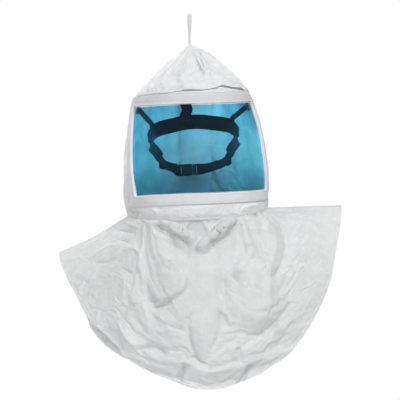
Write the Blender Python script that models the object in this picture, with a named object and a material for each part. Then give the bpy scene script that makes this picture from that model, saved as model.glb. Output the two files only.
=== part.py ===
# Loose-fitting respirator hood with its head harness, window, double bib and air inlet.
# Built in metres, +Z up; the window faces -Y and X is to the right of a viewer facing the window.
# The origin is the middle of the footprint at the lowest point of the hem.
# Sizes in the script are millimetres and angles are degrees, unless a comment says otherwise.
import math

import bmesh
import bpy
from mathutils import Matrix, Vector

for old_object in list(bpy.data.objects):
    bpy.data.objects.remove(old_object, do_unlink=True)

MM = 0.001
ORIGIN_SHIFT = Vector((0, 0.01235, 0))   # puts the origin at mid-depth, in metres
PANEL_THICK = 1.0
SEAM = 0.5                               # gap between a panel and the seam line beside it
UP_AND_OVER = Vector((1, 0, 0.05))       # direction across the crown strap

# ---------------------------------------------------------------- materials

FABRIC = dict(colour=(0.86, 0.86, 0.86), roughness=0.75)
BINDING = dict(colour=(0.84, 0.84, 0.85), roughness=0.6)
TAPE = dict(colour=(0.9, 0.9, 0.9), roughness=0.8)
LENS = dict(colour=(0.95, 0.97, 0.98), roughness=0.05, alpha=0.25)
FILM = dict(colour=(0.12, 0.5, 0.72), roughness=0.15, alpha=0.6)
WEBBING = dict(colour=(0.012, 0.014, 0.02), roughness=0.85)
SWEATBAND = dict(colour=(0.02, 0.02, 0.025), roughness=0.95)
PLASTIC = dict(colour=(0.015, 0.016, 0.02), roughness=0.4)
RUBBER = dict(colour=(0.03, 0.03, 0.03), roughness=0.7)
FOAM = dict(colour=(0.25, 0.26, 0.28), roughness=0.95)
PORT = dict(colour=(0.06, 0.065, 0.07), roughness=0.45)


def make_material(name, colour, roughness, alpha=1.0):
    result = bpy.data.materials.new(name)
    result.use_nodes = True
    inputs = result.node_tree.nodes["Principled BSDF"].inputs
    inputs["Base Color"].default_value = (*colour, 1.0)
    inputs["Roughness"].default_value = roughness
    inputs["Alpha"].default_value = alpha
    return result


# ---------------------------------------------------------------- small helpers

def steps(start, end, count):
    return [start + (end - start) * i / count for i in range(count + 1)]


def clamp(value):
    return min(max(value, 0.0), 1.0)


def smoothstep(value):
    k = clamp(value)
    return k * k * (3 - 2 * k)


def path_tangent(path, i):
    return (path[min(i + 1, len(path) - 1)] - path[max(i - 1, 0)]).normalized()


def frame_at(origin, x_axis, z_axis):
    """4x4 frame with the given x axis and a z axis made square to it."""
    x = x_axis.normalized()
    z = (z_axis - x * z_axis.dot(x)).normalized()
    y = z.cross(x)
    frame = Matrix((x, y, z)).transposed().to_4x4()
    frame.translation = origin
    return frame


def moved(frame, x, y, z):
    """The same frame, moved along its own axes."""
    result = frame.copy()
    result.translation = frame @ Vector((x, y, z))
    return result


# ---------------------------------------------------------------- builders

def finish_object(name, bm, look, origin=(0, 0, 0), smooth_angle=None, place=None):
    """Turns a bmesh into an object with its own material and its origin at a given point.

    place is a matrix in metres that the mesh is put through first.
    """
    mesh = bpy.data.meshes.new(name)
    bm.to_mesh(mesh)
    bm.free()
    if place is not None:
        mesh.transform(place)
    location = Vector(origin) * MM + ORIGIN_SHIFT
    mesh.transform(Matrix.Translation(ORIGIN_SHIFT))
    mesh.transform(Matrix.Translation(-location))
    obj = bpy.data.objects.new(name, mesh)
    bpy.context.scene.collection.objects.link(obj)
    obj.location = location
    mesh.materials.append(make_material(name, **look))
    mesh.shade_smooth()
    if smooth_angle is not None:
        mesh.set_sharp_from_angle(angle=math.radians(smooth_angle))
    return obj


def from_axis(p):
    """Direction away from the hood's middle, with the crown leaning up."""
    flat = Vector((p.x + 10, p.y, 0))
    return flat.normalized() + Vector((0, 0, 0.6 if p.z > 556 else 0.0))


def sheet(name, grid, look=FABRIC, thickness=PANEL_THICK, keep=None, origin=(0, 0, 0),
          outward=from_axis):
    """A panel: a grid of points on its outer face, solidified inwards.

    keep(column, row) tells which cells are built; outward(point) is a direction out of the hood.
    """
    bm = bmesh.new()
    rows = [[bm.verts.new(p * MM) for p in row] for row in grid]
    for j in range(len(rows) - 1):
        for i in range(len(rows[0]) - 1):
            if keep is None or keep(i, j):
                bm.faces.new((rows[j][i], rows[j][i + 1], rows[j + 1][i + 1], rows[j + 1][i]))
    loose = [v for v in bm.verts if not v.link_faces]
    bmesh.ops.delete(bm, geom=loose, context="VERTS")
    bm.normal_update()
    facing_out = sum(
        math.copysign(f.calc_area(), f.normal.dot(outward(f.calc_center_median() / MM)))
        for f in bm.faces
    )
    if facing_out < 0:
        bmesh.ops.reverse_faces(bm, faces=bm.faces)
    obj = finish_object(name, bm, look, origin)
    solid = obj.modifiers.new("thickness", "SOLIDIFY")
    solid.thickness = thickness * MM
    solid.offset = -1.0
    solid.use_even_offset = True
    solid.use_rim = True
    return obj


def strap(name, path, across_at, width, thickness=1.2, look=WEBBING, origin=(0, 0, 0)):
    """Flat webbing along a path; across_at gives the direction across it at each point."""
    bm = bmesh.new()
    loops = []
    for i, (p, direction) in enumerate(zip(path, across_at)):
        tangent = path_tangent(path, i)
        across = (direction - tangent * direction.dot(tangent)).normalized()
        normal = tangent.cross(across)
        corners = [
            p + across * (sx * width / 2) + normal * (sy * thickness / 2)
            for sx, sy in ((-1, -1), (1, -1), (1, 1), (-1, 1))
        ]
        loop = [bm.verts.new(c * MM) for c in corners]
        edges = [bm.edges.new((loop[k], loop[(k + 1) % 4])) for k in range(4)]
        loops.append((loop, edges))
    for (_, edges), (_, next_edges) in zip(loops, loops[1:]):
        bmesh.ops.bridge_loops(bm, edges=edges + next_edges)
    for loop, _ in (loops[0], loops[-1]):
        bm.faces.new(loop)
    bmesh.ops.recalc_face_normals(bm, faces=bm.faces)
    return finish_object(name, bm, look, origin, smooth_angle=40)


def turned(name, profile, centre, axis, look, segments, closed=True):
    """A body turned from (radius, distance along the axis) pairs.

    The profile is closed for a ring, and open if it meets the axis at both ends.
    """
    bm = bmesh.new()
    outline = [bm.verts.new((radius * MM, 0, along * MM)) for radius, along in profile]
    count = len(outline)
    edges = [
        bm.edges.new((outline[i], outline[(i + 1) % count]))
        for i in range(count if closed else count - 1)
    ]
    bmesh.ops.spin(
        bm, geom=outline + edges, cent=(0, 0, 0), axis=(0, 0, 1),
        angle=math.radians(360), steps=segments, use_merge=False,
    )
    bmesh.ops.remove_doubles(bm, verts=bm.verts, dist=1e-6)
    bmesh.ops.recalc_face_normals(bm, faces=bm.faces)
    turn = Vector((0, 0, 1)).rotation_difference(Vector(axis)).to_matrix().to_4x4()
    place = Matrix.Translation(Vector(centre) * MM) @ turn
    return finish_object(name, bm, look, centre, smooth_angle=35, place=place)


def block(name, size, frame, look=PLASTIC, bevel=0.0, origin=None):
    """A box in a frame, with rounded edges if bevel is set; its origin is the frame's by default."""
    bm = bmesh.new()
    bmesh.ops.create_cube(bm, size=1.0)
    bmesh.ops.scale(bm, vec=Vector(size) * MM, verts=bm.verts)
    if bevel:
        bmesh.ops.bevel(
            bm, geom=bm.edges, offset=bevel * MM, segments=2, affect="EDGES", profile=0.5
        )
    place = frame.copy()
    place.translation = frame.translation * MM
    if origin is None:
        origin = frame.translation
    return finish_object(name, bm, look, origin, smooth_angle=35, place=place)


def cut(obj, cutter, operation="DIFFERENCE"):
    """Adds a boolean with a helper object, which is hidden from renders."""
    cutter.hide_render = True
    cutter.display_type = "WIRE"
    boolean = obj.modifiers.new(cutter.name, "BOOLEAN")
    boolean.object = cutter
    boolean.operation = operation
    boolean.solver = "EXACT"


def joint_empty(name, at, objects):
    """An empty on a joint's axis, with the moving pieces parented to it."""
    empty = bpy.data.objects.new(name, None)
    bpy.context.scene.collection.objects.link(empty)
    empty.location = Vector(at) * MM + ORIGIN_SHIFT
    empty.empty_display_size = 0.02
    # The empty's world matrix is only right after an update.
    bpy.context.view_layer.update()
    for obj in objects:
        obj.parent = empty
        obj.matrix_parent_inverse = empty.matrix_world.inverted()


# ---------------------------------------------------------------- the hood's form

# Outline from the neck up to the apex: height, left x, right x, front y, back y.
SECTIONS = [
    (280, -128, 122, -124, 118),
    (310, -133, 125, -134, 124),
    (338, -138, 127, -143, 128),
    (361, -143, 126, -150, 130),
    (407, -145, 127, -157, 132),
    (452, -142, 123, -157, 131),
    (498, -137, 115, -153, 128),
    (530, -132, 105, -146, 124),
    (556, -122, 96, -136, 118),
    (578, -103, 81, -112, 104),
    (600, -84, 59, -84, 84),
    (623, -61, 35, -52, 58),
    (640, -42, 12, -26, 34),
    (652, -27, -15, -7, 9),
]
FRONT_POWER, BACK_POWER = 2.45, 2.25   # how square the outline is in front and behind

INLET = Vector((-9.0, 125.0, 327.0))   # middle of the air inlet, on the back of the hood
FLAT_REACH = 82.0                      # distance from the inlet where the fabric starts to flatten
FLAT_BLEND = 34.0                      # distance over which it becomes fully flat


def section(z):
    """Centre x, half width, front depth and back depth at a height, by smooth interpolation."""
    rows = SECTIONS
    last = len(rows) - 1
    z = min(max(z, rows[0][0]), rows[last][0])
    i = max(j for j in range(last) if rows[j][0] <= z)
    before, low, high, after = (rows[min(max(i + k, 0), last)] for k in (-1, 0, 1, 2))
    rise = high[0] - low[0]
    s = (z - low[0]) / rise
    values = []
    for c in range(1, 5):
        low_slope = (high[c] - before[c]) / (high[0] - before[0]) * rise
        high_slope = (after[c] - low[c]) / (after[0] - low[0]) * rise
        values.append(
            (2 * s**3 - 3 * s**2 + 1) * low[c] + (s**3 - 2 * s**2 + s) * low_slope
            + (-2 * s**3 + 3 * s**2) * high[c] + (s**3 - s**2) * high_slope
        )
    left, right, front, back = values
    return (left + right) / 2, (right - left) / 2, -front, back


def surface(t, z):
    """A point of the outside of the hood; t is 0 right, 90 back, 180 left, 270 front."""
    centre_x, half_width, front, back = section(z)
    c, s = math.cos(math.radians(t)), math.sin(math.radians(t))
    power, depth = (FRONT_POWER, front) if s < 0 else (BACK_POWER, back)
    p = Vector((
        centre_x + half_width * math.copysign(abs(c) ** (2 / power), c),
        depth * math.copysign(abs(s) ** (2 / power), s),
        z,
    ))
    if s > 0:
        # the fabric is clamped flat round the air inlet
        distance = math.hypot(p.x - INLET.x, p.z - INLET.z)
        p.y += (INLET.y - p.y) * smoothstep((FLAT_REACH - distance) / FLAT_BLEND)
    return p


def hood(t, z, lift=0.0):
    """The same point moved outwards along the surface's normal by lift."""
    along_t = surface(t + 1.5, z) - surface(t - 1.5, z)
    along_z = surface(t, z + 2) - surface(t, z - 2)
    return surface(t, z) + along_t.cross(along_z).normalized() * lift


# Side edges of the window: height, share of the hood's half width (negative is left).
WINDOW_LEFT = ((367, -0.815), (455, -0.895), (538, -0.93))
WINDOW_RIGHT = ((367, 0.965), (455, 0.955), (538, 0.93))
WINDOW_LOW = (366.5, 379.5)      # height of the lower edge at the left and right
WINDOW_HIGH = (534.0, 541.5)     # height of the upper edge at the left and right
WINDOW_ARCH = 3.5                # how far the upper edge dips in the middle
WINDOW_WIDE, WINDOW_TALL = 320.0, 165.0   # nominal size, to turn lengths into shares


def edge_angle(table, z):
    """The angle t of a side edge of the window, upright below its lowest listed height."""
    (z0, s0), (z1, s1), (z2, s2) = table
    z = max(z, z0)
    l0 = (z - z1) * (z - z2) / ((z0 - z1) * (z0 - z2))
    l1 = (z - z0) * (z - z2) / ((z1 - z0) * (z1 - z2))
    l2 = (z - z0) * (z - z1) / ((z2 - z0) * (z2 - z1))
    share = s0 * l0 + s1 * l1 + s2 * l2
    angle = math.degrees(math.acos(abs(share) ** (FRONT_POWER / 2)))
    return 180 + angle if share < 0 else 360 - angle


def t_left(z):
    return edge_angle(WINDOW_LEFT, z)


def t_right(z):
    return edge_angle(WINDOW_RIGHT, z)


def window_z(u, v):
    low = WINDOW_LOW[0] + (WINDOW_LOW[1] - WINDOW_LOW[0]) * u
    high = WINDOW_HIGH[0] + (WINDOW_HIGH[1] - WINDOW_HIGH[0]) * u
    high -= WINDOW_ARCH * 4 * u * (1 - u)
    return low + (high - low) * v


def window(u, v, lift):
    """A point of the window: u 0 left to 1 right, v 0 low to 1 high; beyond that is the border."""
    z = window_z(u, v)
    return hood(t_left(z) + (t_right(z) - t_left(z)) * u, z, lift)


def window_height(v):
    """Height of the window's line v, as a function of the angle t."""
    def height_at(t):
        z = 455.0
        # u depends on the height it gives, so it is found by repetition
        for _ in range(3):
            z = window_z((t - t_left(z)) / (t_right(z) - t_left(z)), v)
        return z
    return height_at


def crown_line(t):
    """Height of the seam between the walls and the crown, higher at the right."""
    return 558.5 + 5.0 * math.cos(math.radians(t))


def neck_line(t):
    """Height of the seam between walls and cape: higher at the right and front, lower behind."""
    s = math.sin(math.radians(t))
    return 338.0 + 7.5 * math.cos(math.radians(t)) - (44.0 if s > 0 else 12.0) * s * s


# ---------------------------------------------------------------- hood walls and crown

BACK_SEAM_GAP = 0.35     # angle from the back seam to each side panel
SIDE_WINDOW_GAP = 1.0    # angle from the window's edge to a side panel
FRONT_OVERLAP = 0.6      # angle the brow and chin panels reach past the window's edges
EDGE_GAP = 0.02          # share of the window's height kept clear above and below it
CROWN_TOP = 651.0
CROWN_GAP = 0.25         # angle from each end of a crown half to its seam
CROWN_SHARES = (0, 0.12, 0.28, 0.46, 0.64, 0.8, 0.92, 1.0)


def above_neck(t):
    return neck_line(t) + SEAM


def below_crown(t):
    return crown_line(t) - SEAM


def wall(t_from, t_to, z_from, z_to, columns, rows):
    """Grid between two angle functions of height and two height functions of angle."""
    def point(s, q):
        z = 0.5 * (z_from(200) + z_to(200))
        # angle and height depend on each other, so they are found by repetition
        for _ in range(4):
            t = t_from(z) + (t_to(z) - t_from(z)) * s
            z = z_from(t) + (z_to(t) - z_from(t)) * q
        return hood(t, z)
    return [[point(i / columns, j / rows) for i in range(columns + 1)] for j in range(rows + 1)]


def side_panel(name, t_from, t_to):
    return sheet(name, wall(t_from, t_to, above_neck, below_crown, columns=22, rows=13))


def front_panel(name, z_from, z_to):
    return sheet(name, wall(
        lambda z: t_left(z) - FRONT_OVERLAP, lambda z: t_right(z) + FRONT_OVERLAP,
        z_from, z_to, columns=26, rows=3,
    ))


def crown_half(name, t_from, t_to):
    def height(t, share):
        low = crown_line(t) + SEAM
        return low + (CROWN_TOP - low) * share
    angles = steps(t_from + CROWN_GAP, t_to - CROWN_GAP, 20)
    return sheet(name, [[hood(t, height(t, share)) for t in angles] for share in CROWN_SHARES])


side_left = side_panel(
    "side_panel_left", lambda z: 90 + BACK_SEAM_GAP, lambda z: t_left(z) - SIDE_WINDOW_GAP
)
side_right = side_panel(
    "side_panel_right", lambda z: t_right(z) + SIDE_WINDOW_GAP, lambda z: 450 - BACK_SEAM_GAP
)
front_panel("brow_panel", window_height(1 + EDGE_GAP), below_crown)
front_panel("chin_panel", above_neck, window_height(-EDGE_GAP))
crown_half("crown_front", 180, 360)
crown_half("crown_rear", 0, 180)

# ---------------------------------------------------------------- window layers

# Borders as shares of the window's width (u) and height (v).
LENS_U, LENS_V = 0.055, 0.105            # how far the lens runs under the fabric
BINDING_U, BINDING_V = 0.072, 19.0 / WINDOW_TALL
FILM_GAP_U, FILM_GAP_V = 0.006, 0.012    # how far the film stays inside the window

INNER_U = steps(0.0, 1.0, 22)
INNER_V = steps(0.0, 1.0, 4)


def window_grid(us, vs, lift):
    return [[window(u, v, lift) for u in us] for v in vs]


def make_binding():
    """Band round the window, on the outside of the fabric."""
    us = [-BINDING_U, -BINDING_U / 2] + INNER_U + [1.0 + BINDING_U / 2, 1.0 + BINDING_U]
    vs = [-BINDING_V, -BINDING_V / 2] + INNER_V
    vs += [1.0 + BINDING_V / 3, 1.0 + 2 * BINDING_V / 3, 1.0 + BINDING_V]

    def is_border(i, j):
        return not (us[i] >= 0 and us[i + 1] <= 1 and vs[j] >= 0 and vs[j + 1] <= 1)

    sheet("visor_binding", window_grid(us, vs, lift=2.0), BINDING, keep=is_border)


def make_lens():
    """The lens, and the tape that bonds its border to the fabric."""
    us = [-LENS_U] + INNER_U + [1.0 + LENS_U]
    vs = [-LENS_V] + INNER_V + [1.0 + LENS_V]

    def is_border(i, j):
        return i in (0, len(us) - 2) or j in (0, len(vs) - 2)

    sheet("lens_bond_tape", window_grid(us, vs, lift=-1.6), TAPE, thickness=0.6, keep=is_border)
    sheet("visor_lens", window_grid(us, vs, lift=-2.8), LENS, thickness=1.0)


def make_film():
    """Film on the outside of the lens."""
    us = [FILM_GAP_U] + INNER_U[1:-1] + [1 - FILM_GAP_U]
    vs = [FILM_GAP_V] + INNER_V[1:-1] + [1 - FILM_GAP_V]
    sheet("visor_film", window_grid(us, vs, lift=-1.9), FILM, thickness=0.5)


make_binding()
make_lens()
make_film()

# ------------------------------------------- cape: front and rear halves sewn at the shoulders

HEM_LEFT, HEM_RIGHT = -82.5, 99.5        # angles of the hem's ends; 0 is the bottom
HEM_X = -1.4                             # middle of the hem's oval
HEM_Z = 300.0
FRONT_DROP, REAR_DROP = 278.0, 298.54    # from the oval's middle to the bottom of the hem
FRONT_REACH, REAR_REACH = 176.0, 150.0   # how far the hem stands out in front and behind
CAPE_GAP = 0.8                           # half the distance between the halves at the shoulder
CAPE_BULGE = 22.0                        # extra fullness halfway down
CAPE_WAVES = ((3.5, 0.15, 7.0), (5.5, 0.4, 3.0))   # waves along the hem, phase in turns, height
FRONT_HINGE = (-8.0, -143.0, 337.0)
REAR_HINGE = (-8.0, 132.65, 300.0)


def hem(s, front):
    """A point of the hem: s 0 at the left corner to 1 at the right corner."""
    angle = math.radians(HEM_LEFT + (HEM_RIGHT - HEM_LEFT) * s)
    sine, cosine = math.sin(angle), math.cos(angle)
    # the width grows to the sides, and narrows near the bottom
    half_width = 248 + 22 * sine**2 + (0 if front else 12 * cosine**2)
    x = HEM_X + sine * half_width * (1 - 0.18 * cosine**8)
    z = HEM_Z - (FRONT_DROP if front else REAR_DROP) * cosine
    bulge = math.sin(math.pi * s) ** 0.75
    if front:
        return Vector((x, -CAPE_GAP - FRONT_REACH * bulge, z))
    # the rear hem slopes sideways
    return Vector((x, CAPE_GAP + REAR_REACH * bulge, z + 0.13 * x * cosine**2))


def neck(s, front):
    """A point of the cape's upper edge, from left to right."""
    t = 180.0 + 180.0 * s if front else 180.0 - 180.0 * s
    p = hood(t, neck_line(t) - SEAM)
    p.y = min(p.y, -CAPE_GAP) if front else max(p.y, CAPE_GAP)
    return p


def cape_point(s, q, front):
    """Between the neck (q 0) and the hem (q 1), with the soft waves that hanging cloth has."""
    p = neck(s, front).lerp(hem(s, front), q)
    edge = math.sin(math.pi * s)
    p.y += (-1.0 if front else 1.0) * CAPE_BULGE * edge * math.sin(math.pi * q)
    waves = sum(
        math.sin(2 * math.pi * (count * s + phase)) * height
        for count, phase, height in CAPE_WAVES
    )
    p.y += waves * q * edge**1.2
    return p


def cape_half(name, front, origin):
    grid = [[cape_point(s, q, front) for s in steps(0, 1, 26)] for q in steps(0, 1, 8)]
    side = -1 if front else 1
    return sheet(name, grid, origin=origin, outward=lambda p: Vector((0, side, -0.2)))


cape_front = cape_half("cape_front", True, FRONT_HINGE)
cape_rear = cape_half("cape_rear", False, REAR_HINGE)

# ------------------------- inner bib: sewn to the neckline inside the cape, tucked in a coverall

BIB_X = -9               # the bib narrows towards this x and y 0
BIB_LOW = 96.0           # height of its lower edge in front and behind
BIB_SIDE_RISE = 30       # how much higher that edge is at the sides
BIB_NARROWING = 0.10     # share of the width lost at the bottom
BIB_TOP_GAP = 3.0        # from the neck seam down to the top edge
BIB_INSET = 4.0          # from the hood's surface in to the bib
BIB_FOLD = 3.0           # height of its folds at the bottom


def bib_point(t, q):
    top = neck_line(t) - BIB_TOP_GAP
    p = hood(t, top, -BIB_INSET)
    low = BIB_LOW + BIB_SIDE_RISE * abs(math.cos(math.radians(t))) ** 3
    shrink = 1 - BIB_NARROWING * q
    fold = abs(BIB_FOLD * math.sin(math.radians(t) * 9) * q)
    return Vector((BIB_X + (p.x - BIB_X) * shrink, p.y * shrink + fold, top + (low - top) * q))


for bib_name, bib_from, bib_to, bib_side in (
    ("inner_bib_front", 182.0, 358.0, Vector((0, -1, 0))),
    ("inner_bib_rear", 2.0, 178.0, Vector((0, 1, 0))),
):
    bib_grid = [[bib_point(t, q) for t in steps(bib_from, bib_to, 18)] for q in steps(0, 1, 6)]
    sheet(bib_name, bib_grid, outward=lambda p: bib_side)

# ---------------------------------------- hanging loop, a folded tape sewn in at the apex

LOOP_X, LOOP_Y = -21.0, 1.0
LOOP_BASE, LOOP_TOP = 646.0, 716.0
LOOP_TAPE = 1.1                          # thickness of the tape
LOOP_PIVOT = (LOOP_X, LOOP_Y, 650.0)
# Half of each outline, from the base up: distance from the middle of the loop, height.
LOOP_OUTER = [
    (1.6, LOOP_BASE), (1.9, 668.0), (3.0, 686.0), (5.0, 703.0), (5.8, 709.0), (5.8, LOOP_TOP),
]
LOOP_INNER = [
    (0.5, 660.0), (0.8, 668.0), (1.9, 686.0), (3.9, 703.0), (4.7, 709.0),
    (4.7, LOOP_TOP - LOOP_TAPE),
]


def make_loop():
    """Tape gathered to 4.2 mm at the seam and 8 mm wide above, as one band with a flat top."""
    bm = bmesh.new()

    def outline(half, side):
        points = [(-y, z) for y, z in half] + [(y, z) for y, z in reversed(half)]
        verts = []
        for y, z in points:
            width = 4.2 + 3.8 * smoothstep((z - 662.0) / 40.0)
            verts.append(bm.verts.new(Vector((LOOP_X + side * width / 2, LOOP_Y + y, z)) * MM))
        return verts

    outer_left, outer_right = (outline(LOOP_OUTER, side) for side in (-1, 1))
    inner_left, inner_right = (outline(LOOP_INNER, side) for side in (-1, 1))
    count = len(outer_left)
    for i in range(count):
        j = (i + 1) % count
        bm.faces.new((outer_left[i], outer_left[j], outer_right[j], outer_right[i]))
        bm.faces.new((inner_right[i], inner_right[j], inner_left[j], inner_left[i]))
        bm.faces.new((inner_left[i], inner_left[j], outer_left[j], outer_left[i]))
        bm.faces.new((outer_right[i], outer_right[j], inner_right[j], inner_right[i]))
    bmesh.ops.recalc_face_normals(bm, faces=bm.faces)
    return finish_object("hang_loop", bm, TAPE, LOOP_PIVOT, smooth_angle=40)


hang_loop = make_loop()

# ---------------------------------------------- head harness: a tilted ring round the head

RING_CENTRE = Vector((-12.0, 0.0, 462.0))
RING_HALF_WIDTH, RING_HALF_DEPTH = 85.0, 98.0
TILT = math.radians(25)         # raises the brow
ROLL = math.radians(3.3)        # raises the right side
BROW_WIDE, WEB_WIDE = 27.0, 19.0
CROWN_WIDE = 20.0
WEB_THICK = 1.2
BAND_LEAN = 4                   # how far the brow band tips in at its upper edge

ROLL_TURN = Matrix.Rotation(-ROLL, 3, "Y")
RING_RIGHT = ROLL_TURN @ Vector((1, 0, 0))
RING_FRONT = ROLL_TURN @ Vector((0, -math.cos(TILT), math.sin(TILT)))
RING_UP = ROLL_TURN @ Vector((0, math.sin(TILT), math.cos(TILT)))


def ring_normal(theta):
    angle = math.radians(theta)
    right = RING_RIGHT * (math.sin(angle) / RING_HALF_WIDTH)
    return (right + RING_FRONT * (math.cos(angle) / RING_HALF_DEPTH)).normalized()


def ring(theta, up=0.0, out=0.0):
    """A point by the ring: theta 0 is the brow, 180 the nape, positive to the right."""
    angle = math.radians(theta)
    return (
        RING_CENTRE
        + RING_RIGHT * (RING_HALF_WIDTH * math.sin(angle))
        + RING_FRONT * (RING_HALF_DEPTH * math.cos(angle))
        + RING_UP * up
        + ring_normal(theta) * out
    )


def band(name, theta_from, theta_to, count, width, thickness, out, lean, look=WEBBING):
    """Webbing round the ring; lean(share of its length) tips its upper edge to the head."""
    path, across = [], []
    for i in range(count + 1):
        share = i / count
        theta = theta_from + (theta_to - theta_from) * share
        angle = math.radians(lean(share))
        path.append(ring(theta, 0.0, out))
        across.append(RING_UP * math.cos(angle) - ring_normal(theta) * math.sin(angle))
    return strap(name, path, across, width, thickness, look)


ELASTIC_LEFT, ELASTIC_RIGHT = -80, 78    # front ends of the side elastics
ELASTIC_END = 141.0                      # rear ends, on both sides


def elastic_lean(share):
    """The elastic twists between the brow band and the slide; both sides use the right's angles."""
    theta = ELASTIC_RIGHT + (ELASTIC_END - ELASTIC_RIGHT) * share
    return 34.0 * smoothstep(min((theta - 83.5) / 9.0, (121.0 - theta) / 9.0))


swinging = [
    band("brow_band", -82, 80, 22, BROW_WIDE, 1.6, 0.8, lambda share: BAND_LEAN),
    band("sweatband", -62, 60, 18, 23.0, 3.0, -1.9, lambda share: BAND_LEAN, SWEATBAND),
]
for side, start, end in (
    ("left", ELASTIC_LEFT, -ELASTIC_END),
    ("right", ELASTIC_RIGHT, ELASTIC_END),
):
    swinging.append(band(
        f"side_elastic_{side}", start, end, 20, WEB_WIDE, WEB_THICK, -1.6, elastic_lean
    ))

# domed heads where the brow band is riveted to the elastics: radius, distance out of the ring
RIVET_PROFILE = [(0.0, 1.95), (4.2, 1.95), (4.2, 2.6), (3.2, 3.4), (0.0, 3.8)]
for side, theta in (("left", -78.0), ("right", 76.0)):
    swinging.append(turned(
        f"brow_rivet_{side}", RIVET_PROFILE, ring(theta), ring_normal(theta), PLASTIC,
        segments=20, closed=False,
    ))

# ---------------------------------------------- corner straps and their patches

TAB_SIZE = 17.0
# Where the corner straps meet the hood: u and v of the window.
ANCHOR_UV = {"left": (0.01, 0.965), "right": (0.985, 0.955)}
ANCHORS = {side: window(u, v, -9.0) for side, (u, v) in ANCHOR_UV.items()}
SWING_AXIS = (
    RING_CENTRE.x,
    (ANCHORS["left"].y + ANCHORS["right"].y) / 2,
    (ANCHORS["left"].z + ANCHORS["right"].z) / 2,
)


def corner_strap(side, theta):
    """Narrow strap from the top of the brow band up to the hood's front corner."""
    start = ring(theta, BROW_WIDE / 2 - 5.0, 3.0)
    bend = ring(theta, BROW_WIDE / 2 + 3.0, 3.4)
    path = [start, bend] + [bend.lerp(ANCHORS[side], s) for s in (0.3, 0.6, 0.85, 1.0)]
    across = [ring_normal(theta).cross(path_tangent(path, i)) for i in range(len(path))]
    return strap(f"corner_strap_{side}", path, across, 8.5, origin=SWING_AXIS)


def anchor_tab(side):
    """A reinforcing patch sewn inside the hood."""
    u, v = ANCHOR_UV[side]
    us = [u + a * (TAB_SIZE / WINDOW_WIDE) for a in steps(-0.5, 0.5, 6)]
    vs = [v + b * (TAB_SIZE / WINDOW_TALL) for b in steps(-0.5, 0.5, 3)]
    sheet(f"anchor_tab_{side}", window_grid(us, vs, lift=-5.6), thickness=0.8)


for side, theta in (("left", -56), ("right", 59)):
    swinging.append(corner_strap(side, theta))
    anchor_tab(side)

# ------------------ crown strap: the lower part rises from the brow band, the upper from the roof

CROWN_THETA = -8.5
CROWN_LOW_PATH = [
    ring(CROWN_THETA, -11.0, 3.6),
    ring(CROWN_THETA, 4.0, 3.2),
    ring(CROWN_THETA, 14.5, 3.0),
    Vector((-24.5, -96.0, 527.0)),
    Vector((-26.0, -93.0, 538.0)),
    Vector((-28.0, -84.0, 550.0)),
    Vector((-29.7, -70.0, 555.2)),
    Vector((-31.5, -56.0, 560.5)),
]
CROWN_HIGH_PATH = [
    Vector((-32.0, -51.5, 562.3)),
    Vector((-33.5, -30.0, 573.0)),
    Vector((-35.0, -8.0, 586.0)),
    Vector((-35.0, 10.0, 596.0)),
]
along_brow = ring(CROWN_THETA + 2) - ring(CROWN_THETA - 2)
swinging.append(strap(
    "crown_strap_lower", CROWN_LOW_PATH, [along_brow] * 3 + [UP_AND_OVER] * 5, CROWN_WIDE,
    origin=SWING_AXIS,
))
strap("crown_strap_upper", CROWN_HIGH_PATH, [UP_AND_OVER] * 4, CROWN_WIDE)
block(
    "crown_anchor_tab", (24, 9, 1.0),
    frame_at(Vector((-35.0, 17.0, 603.0)), Vector((1, 0, 0)), Vector((0, -0.5, 0.86))), FABRIC,
)

# ---------------------------------------------------------------- slides on the webbing

GLIDE_THETA = 129.0      # of the side slides, left and right
GLIDE_OUT = -1.6


def triglide(name, centre, along, across, strap_width, origin):
    """A moulded slide round the webbing, with a bar between two windows on the head side."""
    # x along the strap, z across it, y away from the head
    frame = frame_at(centre, along, across)
    size = (13.0, WEB_THICK + 4.2, strap_width + 5.0)
    slot_size = (30.0, WEB_THICK + 1.8, strap_width + 1.6)
    body = block(name, size, frame, bevel=0.8, origin=origin)
    cut(body, block(name + "_slot", slot_size, frame))
    for k, x in enumerate((-3.1, 3.1)):
        window_size = (3.2, 4.0, strap_width - 2.0)
        cut(body, block(f"{name}_window_{k}", window_size, moved(frame, x, -2.6, 0)))
    return body


def side_triglide(side, theta):
    along = (ring(theta - 2) - ring(theta + 2)).normalized()
    return triglide(
        f"triglide_{side}", ring(theta, 0, GLIDE_OUT), along, RING_UP, WEB_WIDE, ring(theta)
    )


triglide_left = side_triglide("left", -GLIDE_THETA)
triglide_right = side_triglide("right", GLIDE_THETA)
crown_glide_along = (CROWN_LOW_PATH[-1] - CROWN_LOW_PATH[-3]).normalized()
crown_glide_at = CROWN_LOW_PATH[-1] - crown_glide_along * 8.0
crown_triglide = triglide(
    "crown_triglide", crown_glide_at, crown_glide_along, UP_AND_OVER, CROWN_WIDE, crown_glide_at
)

# ---------------------------------------------------------------- side-release buckle at the nape

BUCKLE_AT = ring(184.0, 0, -0.6)
# x to the right along the strap, y away from the head, z across the strap
BUCKLE_FRAME = frame_at(BUCKLE_AT, RING_RIGHT, RING_UP)
SOCKET_LONG, SOCKET_DEEP, SOCKET_HIGH = 27.0, 8.4, 23.0
PLUG_LONG, PLUG_DEEP, PLUG_HIGH = 13.6, 6.6, 22.4
PRONG_DEEP = 3.8                     # of the plug's arms and their pads
SOCKET_SLOT_X, PLUG_SLOT_X = -23.4, 9.0


def buckle_block(name, size, x, z=0, bevel=0.0):
    return block(name, size, moved(BUCKLE_FRAME, x, 0, z), bevel=bevel)


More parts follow.
